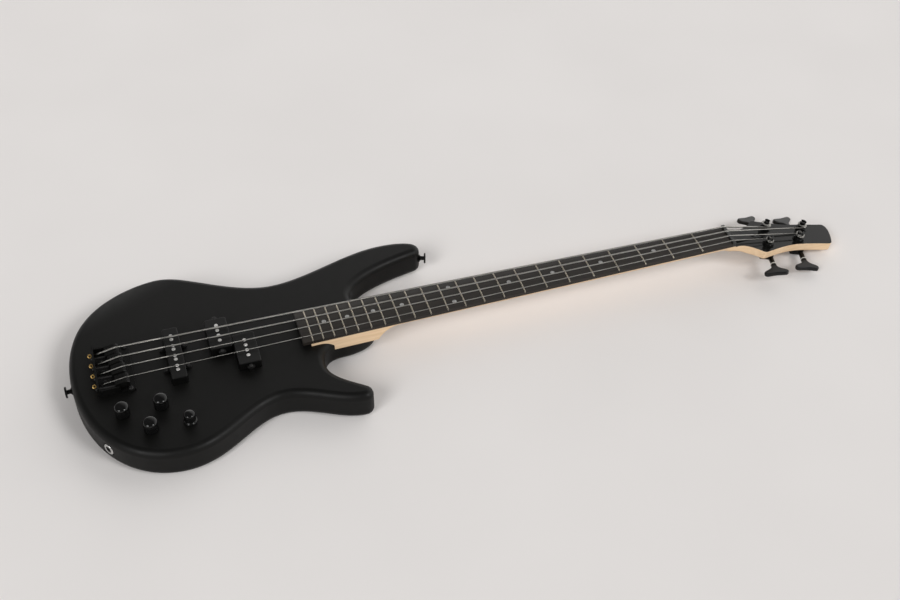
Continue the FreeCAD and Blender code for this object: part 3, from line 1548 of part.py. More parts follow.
def main():
    os.makedirs("parts", exist_ok=True)
    export(make_body(), "body")
    export(make_control_cover(), "control_cover")
    export(make_small_screws(), "small_screws")
    export(make_neck(), "neck")
    export(make_truss_rod(), "truss_rod")
    export(make_truss_rod_cover(), "truss_rod_cover")
    export(make_fretboard(), "fretboard")
    export(make_frets(), "frets")
    export(make_position_dots(), "position_dots")
    export(make_nut(), "nut")
    export(make_neck_screws(), "neck_screws")
    export(make_neck_ferrules(), "neck_ferrules")
    export(make_bridge_plate(), "bridge_plate")
    export(make_bridge_screws(), "bridge_screws")
    export(make_intonation_screws(), "intonation_screws")
    export(make_ball_ends(), "ball_ends")
    for index, name in enumerate(string_names):
        export(make_saddle(index), "saddle_" + name)
        export(make_height_screws(index), "height_screws_" + name)
        export(make_string(index), "string_" + name)
        export(make_tuner_post(index), "tuner_post_" + name)
        export(make_tuner_key(index), "tuner_key_" + name)
        export(make_knob(index), knob_names[index])
        export(make_pot_shaft(index), shaft_names[index])
    export(make_bridge_pickup_cover(), "bridge_pickup_cover")
    export(make_split_cover(split_bass_station, split_center), "split_cover_bass")
    export(make_split_cover(split_treble_station, -split_center), "split_cover_treble")
    export(make_pole_pieces(), "pole_pieces")
    export(make_pickup_coils(), "pickup_coils")
    export(make_pickup_screws(), "pickup_screws")
    export(make_pickup_sleeves(), "pickup_sleeves")
    export(make_potentiometers(), "potentiometers")
    export(make_output_jack(), "output_jack")
    export(make_jack_nut(), "jack_nut")
    export(make_circuit_board(), "circuit_board")
    export(make_battery(), "battery")
    export(make_wiring(), "wiring")
    export(make_strap_buttons(), "strap_buttons")
    export(Part.makeCompound([make_tuner_housing(index) for index in range(4)]), "tuner_housings")
    export(Part.makeCompound([make_tuner_bushing(index) for index in range(4)]), "tuner_bushings")


main()
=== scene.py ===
# %% [markdown]
# # An electric bass guitar, lying on its back
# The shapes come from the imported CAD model, which is loaded as a fixed frame.
# This script gives every piece its finish and models the few pieces that need finer
# detail than the CAD solids hold: the wound strings, the knurled knobs and the carved
# corners behind the nut.
# All lengths are in metres, in the frame of the CAD model: +X runs from the bridge to
# the headstock, +Y to the thickest string, and +Z out of the front of the body.

import math

import bmesh
import bpy
from mathutils import Matrix, Vector
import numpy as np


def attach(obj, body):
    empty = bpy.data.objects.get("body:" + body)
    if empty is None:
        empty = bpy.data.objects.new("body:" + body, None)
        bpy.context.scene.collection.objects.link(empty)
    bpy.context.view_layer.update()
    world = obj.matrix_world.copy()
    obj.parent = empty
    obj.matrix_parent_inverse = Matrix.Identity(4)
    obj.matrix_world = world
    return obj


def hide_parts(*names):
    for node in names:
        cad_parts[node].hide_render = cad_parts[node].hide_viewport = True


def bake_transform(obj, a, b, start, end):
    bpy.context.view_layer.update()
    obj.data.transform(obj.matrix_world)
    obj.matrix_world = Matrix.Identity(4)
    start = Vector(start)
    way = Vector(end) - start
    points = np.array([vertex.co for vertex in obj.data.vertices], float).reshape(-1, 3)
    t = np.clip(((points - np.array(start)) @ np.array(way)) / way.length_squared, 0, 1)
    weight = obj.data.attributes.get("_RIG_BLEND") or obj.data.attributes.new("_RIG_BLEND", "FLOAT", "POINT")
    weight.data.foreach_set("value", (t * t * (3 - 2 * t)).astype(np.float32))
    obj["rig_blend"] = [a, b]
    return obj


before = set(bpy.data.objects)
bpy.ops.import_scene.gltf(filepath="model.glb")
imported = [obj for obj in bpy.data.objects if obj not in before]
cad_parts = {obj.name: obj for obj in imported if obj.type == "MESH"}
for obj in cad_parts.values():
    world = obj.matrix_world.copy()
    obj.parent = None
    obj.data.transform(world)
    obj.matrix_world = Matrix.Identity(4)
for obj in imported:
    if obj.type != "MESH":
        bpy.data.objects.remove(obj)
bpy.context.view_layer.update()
scene = bpy.context.scene
scene.view_settings.view_transform = "Standard"
print("CAD nodes:", len(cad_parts))

# %% [markdown]
# ## Camera
# The photographer stood on the controls' side and looked down at about 43 degrees. A
# camera could be aimed at a target, but this one's place and angles were solved from the
# photograph, so they are written down as they are. A camera looks along its own -Z, so
# the tilt from straight down is 90 minus the downward angle, and the heading turns it
# towards the headstock.

# %% Camera
camera_place = Vector((0.04314, -1.27293, 1.29724))
look_down = 43.262
look_right = 17.442
film_width = 36.0
lens_length = 52.916


def add(name, data):
    """Put a new object into the scene, at the origin."""
    thing = bpy.data.objects.new(name, data)
    scene.collection.objects.link(thing)
    return thing


camera = add("studio_camera", bpy.data.cameras.new("studio_camera"))
camera.data.sensor_width = film_width
camera.data.lens = lens_length
camera.location = camera_place
camera.rotation_euler = (math.radians(90 - look_down), 0, math.radians(-look_right))
scene.camera = camera
print("camera at", tuple(round(x, 3) for x in camera_place))

# %% [markdown]
# ## Floor and light
# The instrument lies on seamless pale paper. It rests on the back of its body and on
# the tuner housings, which reach lower, so the paper is tilted by under half a degree
# to touch both. Area lights could stand for a studio's soft boxes, but wide suns light a
# long object evenly from end to end. Two of them shine from left and right of the camera,
# which is what puts two bright spots on each knob. The room is dim, but for its low walls
# and a bright one far off to the right and behind: the black top mirrors it, so it pales
# towards the neck.

# %% Paper floor
tail_contact = -0.067
paper_gap = 0.0002
paper_half_width = 6.0
paper_fall = 0.003578
paper_slope = math.atan(-paper_fall)


def piece_from(bm, name):
    """Turn a finished bmesh into an object of the scene."""
    mesh = bpy.data.meshes.new(name)
    bm.to_mesh(mesh)
    bm.free()
    return add(name, mesh)


bm = bmesh.new()
bmesh.ops.create_grid(bm, x_segments=1, y_segments=1, size=paper_half_width)
bmesh.ops.rotate(bm, verts=bm.verts, matrix=Matrix.Rotation(-paper_slope, 3, "Y"))
bmesh.ops.translate(bm, verts=bm.verts, vec=(tail_contact, 0, -paper_gap))
paper = piece_from(bm, "paper_floor")
print("paper tilted by", round(abs(math.degrees(paper_slope)), 2), "degrees")

# %% Soft lights
def soft_light(name, heading, height, spread, strength):
    """A far, broad light. Angles are in degrees; heading 0 is the front, below 0 is left."""
    lamp = bpy.data.lights.new(name, "SUN")
    lamp.angle = math.radians(spread)
    lamp.energy = strength
    holder = add(name, lamp)
    holder.rotation_euler = (math.radians(90 - height), 0, math.radians(heading))
    print(name, "heading", heading, "height", height)


soft_light("left_soft_light", heading=-50, height=37, spread=28, strength=1.42)
soft_light("right_soft_light", heading=44, height=37, spread=20, strength=1.20)

# %% Dim room with a bright wall
room_tint = (1.0, 0.985, 0.97, 1)
wall_way = (0.80, 0.53, -0.22)
room_dim, wall_bright = 0.15, 1.3
low_glow = 0.55


def share_along(tree, place, direction):
    """How far a point, or a line of sight, goes along a direction."""
    node = tree.nodes.new("ShaderNodeVectorMath")
    node.operation = "DOT_PRODUCT"
    node.inputs[1].default_value = direction
    tree.links.new(place, node.inputs[0])
    return node.outputs["Value"]


def ramp(tree, value, start, end, low, high):
    """Go from low to high while a value goes from start to end."""
    node = tree.nodes.new("ShaderNodeMapRange")
    settings = {"From Min": start, "From Max": end, "To Min": low, "To Max": high}
    for socket, setting in settings.items():
        node.inputs[socket].default_value = setting
    tree.links.new(value, node.inputs["Value"])
    return node.outputs["Result"]


world = bpy.data.worlds.new("studio_world")
scene.world = world
world.use_nodes = True
room = world.node_tree
background = room.nodes["Background"]
background.inputs["Color"].default_value = room_tint
gaze = room.nodes.new("ShaderNodeTexCoord").outputs["Object"]
wall = ramp(room, share_along(room, gaze, wall_way),
            start=0.22, end=0.48, low=room_dim, high=wall_bright)
low_walls = ramp(room, share_along(room, gaze, (0, 0, 1)),
                 start=0.15, end=0.45, low=low_glow, high=0.0)
both = room.nodes.new("ShaderNodeMath")
both.operation = "ADD"
room.links.new(wall, both.inputs[0])
room.links.new(low_walls, both.inputs[1])
room.links.new(both.outputs["Value"], background.inputs["Strength"])
print("room brightness from", room_dim, "to", wall_bright + low_glow)

# %% [markdown]
# ## A helper for finishes
# Every finish is a Principled shader whose colour, roughness and bump come from noise on
# Object coordinates. An unwrapped picture would have seams and need a map for each piece.
# All objects sit at the origin, so one pattern runs through neighbouring pieces in true
# size, and a stretched noise gives wood its grain.

# %% Finish helper
class Finish:
    """A node material with short ways to add noise, tone, roughness and bump."""

    def __init__(self, name, roughness, metallic=0.0, specular=0.5, coat=0.0):
        self.material = bpy.data.materials.new(name)
        self.material.use_nodes = True
        self.tree = self.material.node_tree
        self.shader = self.tree.nodes["Principled BSDF"]
        self.shader.inputs["Roughness"].default_value = roughness
        self.shader.inputs["Metallic"].default_value = metallic
        self.shader.inputs["Specular IOR Level"].default_value = specular
        self.shader.inputs["Coat Weight"].default_value = coat
        self.shader.inputs["Coat Roughness"].default_value = 0.08
        self.place = self.tree.nodes.new("ShaderNodeTexCoord").outputs["Object"]
        self.normal = None

    def join(self, output, socket):
        self.tree.links.new(output, socket)

    def noise(self, scale, stretch=(1, 1, 1), detail=4.0, rough=0.55):
        """Noise with so many patches a metre; a stretch below 1 draws it out along an axis."""
        mapping = self.tree.nodes.new("ShaderNodeMapping")
        mapping.inputs["Scale"].default_value = stretch
        self.join(self.place, mapping.inputs["Vector"])
        texture = self.tree.nodes.new("ShaderNodeTexNoise")
        texture.inputs["Scale"].default_value = scale
        texture.inputs["Detail"].default_value = detail
        texture.inputs["Roughness"].default_value = rough
        self.join(mapping.outputs["Vector"], texture.inputs["Vector"])
        return texture.outputs["Fac"]

    def math(self, operation, first, second):
        node = self.tree.nodes.new("ShaderNodeMath")
        node.operation = operation
        for value, socket in zip((first, second), node.inputs):
            if isinstance(value, (int, float)):
                socket.default_value = value
            else:
                self.join(value, socket)
        return node.outputs["Value"]

    def spread(self, factor, low, high, start=0.35, end=0.65):
        """Spread noise, which keeps to its middle, over a whole range."""
        return ramp(self.tree, factor, start, end, low, high)

    def blend(self, factor, first, second):
        node = self.tree.nodes.new("ShaderNodeMix")
        node.data_type = "RGBA"
        self.join(factor, node.inputs["Factor"])
        for value, socket in ((first, node.inputs[6]), (second, node.inputs[7])):
            if isinstance(value, tuple):
                socket.default_value = (*value, 1)
            else:
                self.join(value, socket)
        return node.outputs[2]

    def tones(self, factor, dark, light):
        colour = self.blend(self.spread(factor, 0, 1), dark, light)
        self.join(colour, self.shader.inputs["Base Color"])

    def roughen(self, factor, low, high):
        self.join(self.spread(factor, low, high), self.shader.inputs["Roughness"])

    def bump(self, factor, depth):
        """Raise the surface by up to a depth in metres, on top of any bump before."""
        node = self.tree.nodes.new("ShaderNodeBump")
        node.inputs["Distance"].default_value = depth
        node.inputs["Strength"].default_value = 1.0
        self.join(factor, node.inputs["Height"])
        if self.normal is not None:
            self.join(self.normal, node.inputs["Normal"])
        self.normal = node.outputs["Normal"]
        self.join(self.normal, self.shader.inputs["Normal"])

    def above(self, direction, level):
        """1 where a point lies further along a direction than a level, 0 elsewhere."""
        return self.math("GREATER_THAN", share_along(self.tree, self.place, direction), level)


def paint(finish, *names):
    """Give CAD nodes a finish."""
    for name in names:
        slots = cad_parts[name].data.materials
        slots.clear()
        slots.append(finish.material)
    print(finish.material.name, "on", len(names), "nodes")


# %% Paper finish
paper_finish = Finish("pale_paper", roughness=0.9, specular=0.1)
paper_finish.tones(paper_finish.noise(3.0, detail=2.0),
                   (0.78, 0.755, 0.742), (0.80, 0.775, 0.762))
paper.data.materials.append(paper_finish.material)
print("pale_paper on the floor")

# %% [markdown]
# ## Body
# The body is one block of wood under satin black paint. Satin paint over wood is not a
# perfect black: it scatters a broad soft highlight along the rounded edges, and the
# sprayed film has a very fine orange-peel texture that only breaks up the highlight. One
# even black would look like a hole, so tone, roughness and bump all vary a little.

# %% Satin black body paint
body_paint = Finish("satin_black_paint", roughness=0.46, specular=0.185)
body_paint.tones(body_paint.noise(9.0), (0.0024, 0.0024, 0.0021), (0.0033, 0.0033, 0.0030))
body_paint.roughen(body_paint.noise(60.0), 0.43, 0.50)
body_paint.bump(body_paint.noise(1400.0, detail=2.0), 0.00002)
paint(body_paint, "body")

# %% [markdown]
# ## Neck and headstock
# The neck is pale maple with a satin finish and fine lengthwise grain. The headstock's
# face is painted gloss black with a crisp edge, and its sides stay bare. The face could
# be picked by hand for a second material, but that is lost when the mesh changes. Here
# one material does both: a point counts as face when it lies on the face's tilted plane.

# %% Maple with a black headstock face
head_tilt = math.radians(10.5)
face_up = Vector((math.sin(head_tilt), 0, math.cos(head_tilt)))
face_origin = Vector((0.8685, 0, 0.045))
face_depth = 0.0003
nut_end = 0.8686

maple = Finish("satin_maple", roughness=0.42, specular=0.3)
grain = maple.noise(26.0, stretch=(0.6, 9.0, 9.0), detail=6.0)
flecks = maple.noise(240.0, stretch=(0.25, 4.0, 4.0), detail=3.0)
wood = maple.blend(maple.spread(grain, 0, 1), (0.70, 0.497, 0.306), (0.785, 0.582, 0.382))
fleck_share = maple.spread(flecks, 0, 0.16, start=0.5, end=0.8)
wood = maple.blend(fleck_share, wood, (0.46, 0.29, 0.16))
on_face = maple.above(face_up, face_up.dot(face_origin) - face_depth)
past_nut = maple.above((1, 0, 0), nut_end)
face = maple.math("MULTIPLY", on_face, past_nut)
coated = maple.blend(face, wood, (0.0055, 0.0055, 0.0052))
maple.join(coated, maple.shader.inputs["Base Color"])
face_gloss = maple.spread(face, 0.45, 0.14, start=0, end=1)
face_shine = maple.spread(face, 0.3, 0.15, start=0, end=1)
maple.join(face_gloss, maple.shader.inputs["Roughness"])
maple.join(face_shine, maple.shader.inputs["Specular IOR Level"])
maple.bump(flecks, 0.00002)
paint(maple, "neck")

# %% [markdown]
# ## Carving the headstock's corners
# The CAD headstock is a flat plate that starts square at the nut, while the neck is round
# behind. A maker carves the plate's two back corners away so that one flows into the
# other. They could be sculpted by hand, but a rule can be checked and changed: a copy of
# the neck is cut into a fine grid there, and every point that lies outside the neck's
# round section is lifted to it, less and less over three centimetres.

# %% Grid on a copy of the neck
carve_start = 0.8629
carve_length = 0.030
slice_gap = 0.0015
slice_count = 22
rows_across = (0.009, 0.011, 0.013, 0.0145, 0.016, 0.017, 0.018, 0.019, 0.0197, 0.0203)
grid_start = carve_start - 1e-4
grid_end = carve_start + carve_length + 0.004
weld_gap = 1e-6

bm = bmesh.new()
bm.from_mesh(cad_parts["neck"].data)
bmesh.ops.remove_doubles(bm, verts=bm.verts, dist=weld_gap)
cuts = [((carve_start + slice_gap * step, 0, 0), (1, 0, 0)) for step in range(slice_count)]
cuts += [((0, side * row, 0), (0, 1, 0)) for side in (-1, 1) for row in rows_across]
for place, normal in cuts:
    near = [f for f in bm.faces if grid_start < f.calc_center_median().x < grid_end]
    parts = set(near)
    for f in near:
        parts.update(f.edges)
        parts.update(f.verts)
    bmesh.ops.bisect_plane(bm, geom=list(parts), dist=weld_gap, plane_co=place, plane_no=normal)
print("neck copy cut by", len(cuts), "planes into", len(bm.faces), "faces")

# %% Lifted corners
first_lift = carve_start + 5e-5
plate_thickness = 0.0135
plate_left = 0.0002
round_depth = 0.0142
round_power = 3.2

carved = [v for v in bm.verts if first_lift < v.co.x < carve_start + carve_length]
half_width = {}
for v in carved:
    for column in (-1, 0, 1):
        millimetre = round(v.co.x * 1000) + column
        half_width[millimetre] = max(half_width.get(millimetre, 0), abs(v.co.y))
lifted = 0
for v in carved:
    share = (v.co.x - carve_start) / carve_length
    fade = 1 - share * share * (3 - 2 * share)
    across = min(abs(v.co.y) / half_width[round(v.co.x * 1000)], 1)
    height = face_up.dot(v.co - face_origin) + plate_thickness
    target = fade * round_depth * (1 - (1 - across ** round_power) ** (1 / round_power))
    target = min(target, plate_thickness - plate_left)
    if height < target:
        v.co.z += (target - height) / face_up.z
        lifted += 1
print(lifted, "points lifted")

# %% Carved neck
merge_gap = 2e-5
flat_limit = 0.9998
crease_angle = math.radians(32)

bmesh.ops.remove_doubles(bm, verts=carved, dist=merge_gap)
bmesh.ops.recalc_face_normals(bm, faces=bm.faces)
for f in bm.faces:
    f.smooth = abs(f.normal.dot(face_up)) < flat_limit and abs(f.normal.z) < flat_limit
carved_neck = piece_from(bm, "carved_neck")
mesh = carved_neck.data
for attribute in [a for a in mesh.attributes if a.name == "custom_normal"]:
    mesh.attributes.remove(attribute)
mesh.set_sharp_from_angle(angle=crease_angle)
mesh.materials.append(maple.material)
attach(carved_neck, "instrument")
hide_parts("neck")
print("carved_neck", len(mesh.polygons), "faces")

# %% [markdown]
# ## Fretboard, frets, dots and nut
# The board is a dark oiled hardwood: nearly black brown with short open pores along the
# grain. The pores are far finer than the mesh, so one noise both darkens them and sinks
# them with a bump. The frets are polished nickel silver, a little warm, and the dots are
# pearl.

# %% Fretboard wood
board_wood = Finish("dark_fretboard_wood", roughness=0.5, specular=0.35)
streaks = board_wood.noise(30.0, stretch=(0.5, 10.0, 10.0), detail=6.0)
pores = board_wood.noise(420.0, stretch=(0.12, 3.0, 3.0), detail=2.0)
dark_wood = board_wood.blend(board_wood.spread(streaks, 0, 1),
                             (0.0110, 0.0088, 0.0070), (0.022, 0.0175, 0.0140))
pore_share = board_wood.spread(pores, 0, 0.8, start=0.56, end=0.7)
dark_wood = board_wood.blend(pore_share, dark_wood, (0.005, 0.004, 0.003))
board_wood.join(dark_wood, board_wood.shader.inputs["Base Color"])
board_wood.roughen(streaks, 0.42, 0.56)
board_wood.bump(pores, -0.00005)
paint(board_wood, "fretboard")

# %% Fret wire, pearl dots, black nut
fret_wire = Finish("nickel_fret_wire", roughness=0.25, metallic=1.0)
fret_wire.tones(fret_wire.noise(300.0), (0.48, 0.44, 0.36), (0.56, 0.515, 0.43))
fret_wire.roughen(fret_wire.noise(900.0, stretch=(4, 0.4, 1)), 0.2, 0.34)
paint(fret_wire, "frets")

pearl = Finish("pearl_dots", roughness=0.3, coat=0.4)
pearl.tones(pearl.noise(420.0, detail=3.0), (0.20, 0.20, 0.195), (0.38, 0.38, 0.37))
paint(pearl, "position_dots")

nut_black = Finish("black_nut", roughness=0.4)
nut_black.tones(nut_black.noise(700.0), (0.010, 0.010, 0.010), (0.018, 0.018, 0.017))
nut_black.bump(nut_black.noise(2500.0), 0.00001)
paint(nut_black, "nut")

# %% [markdown]
# ## Black hardware
# The bridge, tuners and strap buttons are plated black. The plating is smoother than
# paint, so it is darker face on and brighter along its edges. A black metallic shader
# would lose that edge light, so the plating is a smooth dark coat. Screws are duller, and
# some bare metal shows on them.

# %% Plated hardware and screws
string_names = ("e", "a", "d", "g")
black_plating = Finish("black_plating", roughness=0.32, specular=0.16)
black_plating.tones(black_plating.noise(120.0),
                    (0.0030, 0.0030, 0.0028), (0.0050, 0.0050, 0.0047))
black_plating.roughen(black_plating.noise(500.0), 0.26, 0.38)
black_plating.bump(black_plating.noise(3000.0, detail=2.0), 0.000006)
paint(black_plating, "bridge_plate", "strap_buttons", "tuner_housings", "tuner_bushings",
      "neck_ferrules", *["saddle_" + name for name in string_names],
      *["tuner_post_" + name for name in string_names])

black_screws = Finish("blackened_screws", roughness=0.42, metallic=0.6)
black_screws.tones(black_screws.noise(600.0), (0.016, 0.016, 0.016), (0.035, 0.034, 0.033))
black_screws.bump(black_screws.noise(3000.0), 0.00001)
paint(black_screws, "small_screws", "bridge_screws", "intonation_screws", "pickup_screws",
      "neck_screws", *["height_screws_" + name for name in string_names])

# %% [markdown]
# ## Tuner keys
# Each key is black on a black shaft, with a light nylon washer between key and housing.
# The three solids share one node, so a second material would mean taking it apart. The
# washer is picked out by its place along the shaft instead: a slab between two planes.

# %% Keys with light washers
# The way each shaft points, out from the headstock, and a point to measure from along it.
key_axes = {
    "e": ((-0.237871, 0.970296, 0.044087), (0.941839, 0.020508, 0.012389)),
    "a": ((-0.237871, 0.970296, 0.044087), (0.999851, 0.014008, 0.001637)),
    "d": ((-0.237871, -0.970296, 0.044087), (0.982644, -0.014008, 0.004826)),
    "g": ((-0.237871, -0.970296, 0.044087), (0.928073, -0.020508, 0.014940)),
}
washer_start = 0.0231
washer_end = 0.0244
washer_nylon = (0.55, 0.54, 0.50)
for name, (way, base) in key_axes.items():
    key = Finish("tuner_key_black_" + name, roughness=0.34, specular=0.26)
    level = Vector(way).dot(Vector(base))
    after = key.above(way, level + washer_start)
    beyond = key.above(way, level + washer_end)
    washer = key.math("SUBTRACT", after, beyond)
    plain = key.blend(key.spread(key.noise(150.0), 0, 1),
                      (0.0045, 0.0045, 0.0044), (0.0075, 0.0074, 0.0071))
    key.join(key.blend(washer, plain, washer_nylon), key.shader.inputs["Base Color"])
    key.roughen(key.noise(700.0), 0.3, 0.42)
    paint(key, "tuner_key_" + name)

# %% [markdown]
# ## Pickups and electronics
# The pickup covers are moulded plastic with a fine matt grain, which a bump of under half
# a millimetre gives without any extra faces. The pole pieces are bare steel rods with
# bright ends. What lies inside the body gets plain honest finishes, because it is seen
# only when the instrument is taken apart.

# %% Pickups
moulded_black = Finish("moulded_black_plastic", roughness=0.33, specular=0.29)
moulded_black.tones(moulded_black.noise(200.0),
                    (0.0020, 0.0020, 0.0019), (0.0034, 0.0034, 0.0032))
moulded_black.bump(moulded_black.noise(2600.0, detail=2.0), 0.00002)
paint(moulded_black, "bridge_pickup_cover", "split_cover_bass", "split_cover_treble",
      "control_cover", "truss_rod_cover", "pickup_sleeves")

pole_steel = Finish("pole_steel", roughness=0.3, metallic=1.0)
pole_steel.tones(pole_steel.noise(500.0), (0.80, 0.79, 0.77), (0.92, 0.91, 0.89))
pole_steel.roughen(pole_steel.noise(1500.0), 0.24, 0.4)
paint(pole_steel, "pole_pieces", "truss_rod")

# %% Ball ends, jack and inner parts
brass = Finish("ball_end_brass", roughness=0.28, metallic=1.0)
brass.tones(brass.noise(500.0), (0.60, 0.38, 0.12), (0.74, 0.50, 0.19))
brass.roughen(brass.noise(900.0), 0.2, 0.36)
paint(brass, "ball_ends")

chrome = Finish("jack_chrome", roughness=0.12, metallic=1.0)
chrome.tones(chrome.noise(200.0), (0.60, 0.60, 0.59), (0.70, 0.70, 0.69))
chrome.roughen(chrome.noise(700.0), 0.08, 0.18)
paint(chrome, "jack_nut")

jack_black = Finish("jack_black", roughness=0.45)
jack_black.tones(jack_black.noise(300.0), (0.010, 0.010, 0.010), (0.016, 0.016, 0.016))
paint(jack_black, "output_jack", "wiring", "battery")

control_names = ("split_volume", "bridge_volume", "tone", "boost")
can_metal = Finish("zinc_can", roughness=0.38, metallic=1.0)
can_metal.tones(can_metal.noise(250.0), (0.50, 0.50, 0.48), (0.62, 0.62, 0.60))
paint(can_metal, "potentiometers", *[name + "_shaft" for name in control_names])

coil_wire = Finish("coil_wire", roughness=0.5)
coil_wire.tones(coil_wire.noise(800.0, stretch=(1, 0.1, 6)),
                (0.16, 0.05, 0.02), (0.30, 0.11, 0.05))
paint(coil_wire, "pickup_coils")

board_lacquer = Finish("board_lacquer", roughness=0.35)
board_lacquer.tones(board_lacquer.noise(300.0), (0.02, 0.12, 0.05), (0.03, 0.18, 0.08))
paint(board_lacquer, "circuit_board")

# %% [markdown]
# ## Knurled knobs
# A metal knob is a turned piece: its profile is drawn once and spun about the shaft.
# The knurled band could be a bump, but its outline would stay smooth. So it is made of
# small squares in that spun surface: poking each square up to a point leaves rows of
# little pyramids, as a knurling wheel does.

# %% Knob finish
knob_black = Finish("gloss_black_knob", roughness=0.12, specular=0.32)
knob_black.tones(knob_black.noise(200.0), (0.0025, 0.0025, 0.0025), (0.0040, 0.0040, 0.0040))
knob_black.roughen(knob_black.noise(900.0), 0.06, 0.12)

knurl_black = Finish("knurled_black", roughness=0.45, specular=0.08)
knurl_black.tones(knurl_black.noise(700.0),
                  (0.0014, 0.0014, 0.0014), (0.0026, 0.0026, 0.0026))
print("two finishes for each knob")

# %% Knob profile
bore_radius = 0.0066
band_share = 0.62
collar_share = 0.74
shoulder_share = 0.45
shoulder_turn = 66
shoulder_steps = 6


def knob_profile(radius, height, rows, foot):
    """Foot, knurled rows, a groove, a plain collar, a round shoulder and a shallow dome."""
    top = height * band_share
    points = [(bore_radius, 0.0002), (radius - 0.0006, 0.0), (radius - 0.0002, 0.0006)]
    points += [(radius - 0.00045, foot + (top - foot) * row / rows) for row in range(rows + 1)]
    collar = height * collar_share
    points += [(radius - 0.0008, top + 0.0005), (radius, top + 0.0009), (radius, collar)]
    shoulder = radius * shoulder_share
    for step in range(1, shoulder_steps + 1):
        angle = math.radians(shoulder_turn * step / shoulder_steps)
        points.append((radius - shoulder * (1 - math.cos(angle)),
                       collar + shoulder * math.sin(angle)))
    last = points[-1]
    for share in (0.75, 0.5, 0.25, 0.0):
        points.append((last[0] * share, last[1] + (height - last[1]) * (1 - share * share)))
    return points, (foot, top)


# %% Knob from a profile
body_top = 0.042
knob_gap = 0.0005
knob_columns = 44
knurl_height = 0.00042


def spun_knob(name, place, profile, band):
    """Spin a (radius, height) profile about a knob's shaft and knurl the rows in a band."""
    bm = bmesh.new()
    points = [bm.verts.new((radius, 0, height)) for radius, height in profile]
    edges = [bm.edges.new(pair) for pair in zip(points, points[1:])]
    bmesh.ops.spin(bm, geom=points + edges, cent=(0, 0, 0), axis=(0, 0, 1),
                   angle=2 * math.pi, steps=knob_columns, use_merge=True)
    bmesh.ops.remove_doubles(bm, verts=bm.verts, dist=weld_gap)
    bmesh.ops.recalc_face_normals(bm, faces=bm.faces)
    knurled = [f for f in bm.faces if band[0] < f.calc_center_median().z < band[1]]
    made = bmesh.ops.poke(bm, faces=knurled, offset=knurl_height)["faces"]
    for f in bm.faces:
        f.smooth = True
    for f in made:
        f.smooth = False
        f.material_index = 1
    bmesh.ops.translate(bm, verts=bm.verts, vec=(*place, body_top + knob_gap))
    piece = piece_from(bm, name)
    piece.data.materials.append(knob_black.material)
    piece.data.materials.append(knurl_black.material)
    print(name, len(piece.data.polygons), "faces")
    return piece


# %% Three large knobs and a small one
large_knob = dict(radius=0.0095, height=0.0175, rows=6, foot=0.0012)
small_knob = dict(radius=0.0075, height=0.0155, rows=5, foot=0.0030)
small_flange = [(bore_radius, 0.0002), (0.0085, 0.0), (0.0088, 0.0005), (0.0088, 0.0013),
                (0.0083, 0.0017), (0.0070, 0.0020)]
knob_places = ((-0.016, -0.079), (0.033, -0.079), (0.015, -0.115), (0.064, -0.115))
for name, place in zip(control_names, knob_places):
    if name == "boost":
        profile, band = knob_profile(**small_knob)
        profile[:3] = small_flange
    else:
        profile, band = knob_profile(**large_knob)
    piece = spun_knob(name + "_knurled", place, profile, band)
    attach(piece, name)
    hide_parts(name + "_knob")

# %% [markdown]
# ## Wound strings
# A bass string is a steel core wrapped in fine round wire. It runs from its ball end over
# the saddle and the nut to its post, winds round that, and tucks into the slot. A curve
# with a round bevel could draw it, but a tube that is grown ring by ring knows its own
# length. It starts as a circle: extruding it makes the straight runs, and spinning it
# makes the bends and, with a rise, the turns on the post. Each ring remembers how far
# along the string it lies, and the material turns that length into the ridges of the wrap.
# A string gives where the hardware moves, so it is made in four lengths that meet end to
# end: two stretch with the sliding saddle, and the winding twists with its post.

# %% String wire finish
wrap_pitch = 0.00045
string_wire = Finish("round_wound_wire", roughness=0.28, metallic=1.0)
string_wire.tones(string_wire.noise(900.0), (0.27, 0.262, 0.245), (0.34, 0.332, 0.31))
length_along = string_wire.tree.nodes.new("ShaderNodeAttribute")
length_along.attribute_name = "along"
wrap_angle = string_wire.math("MULTIPLY", length_along.outputs["Fac"], 2 * math.pi / wrap_pitch)
string_wire.bump(string_wire.math("SINE", wrap_angle, 0), 0.00002)
print("a ridge every", wrap_pitch, "m of string")

# %% String routes, in millimetres
# A string starts at its ball end. Its straight runs would meet in a corner over the saddle
# and over the nut. The winding begins at the entry and goes round the post's axis, and
# the side tells which way round.
mm = 0.001
string_routes = {
    "e": dict(radius=1.335, start=(-41.01, 28.5, 51.405), saddle=(-11.2, 28.5, 57.801),
              nut=(866.25, 15.45, 54.743), entry=(938.206, 12.37, 38.386),
              post=(937.328, 18.5, 32.244), turns=1, side=1),
    "a": dict(radius=1.08, start=(-41.01, 9.5, 51.41), saddle=(-8.4, 9.5, 58.732),
              nut=(866.25, 5.15, 54.837), entry=(996.512, 6.12, 27.58),
              post=(995.34, 12.0, 21.492), turns=1, side=1),
    "d": dict(radius=0.825, start=(-41.01, -9.5, 51.4), saddle=(-6.5, -9.5, 58.477),
              nut=(866.25, -5.15, 54.582), entry=(979.321, -6.375, 30.766),
              post=(978.133, -12.0, 24.681), turns=2, side=-1),
    "g": dict(radius=0.57, start=(-41.01, -28.5, 51.377), saddle=(-4.5, -28.5, 57.036),
              nut=(866.25, -15.45, 53.978), entry=(924.487, -13.134, 40.929),
              post=(923.562, -18.5, 34.795), turns=2, side=-1),
}
print("routes for", len(string_routes), "strings")

# %% A tube that grows
tube_sides = 12


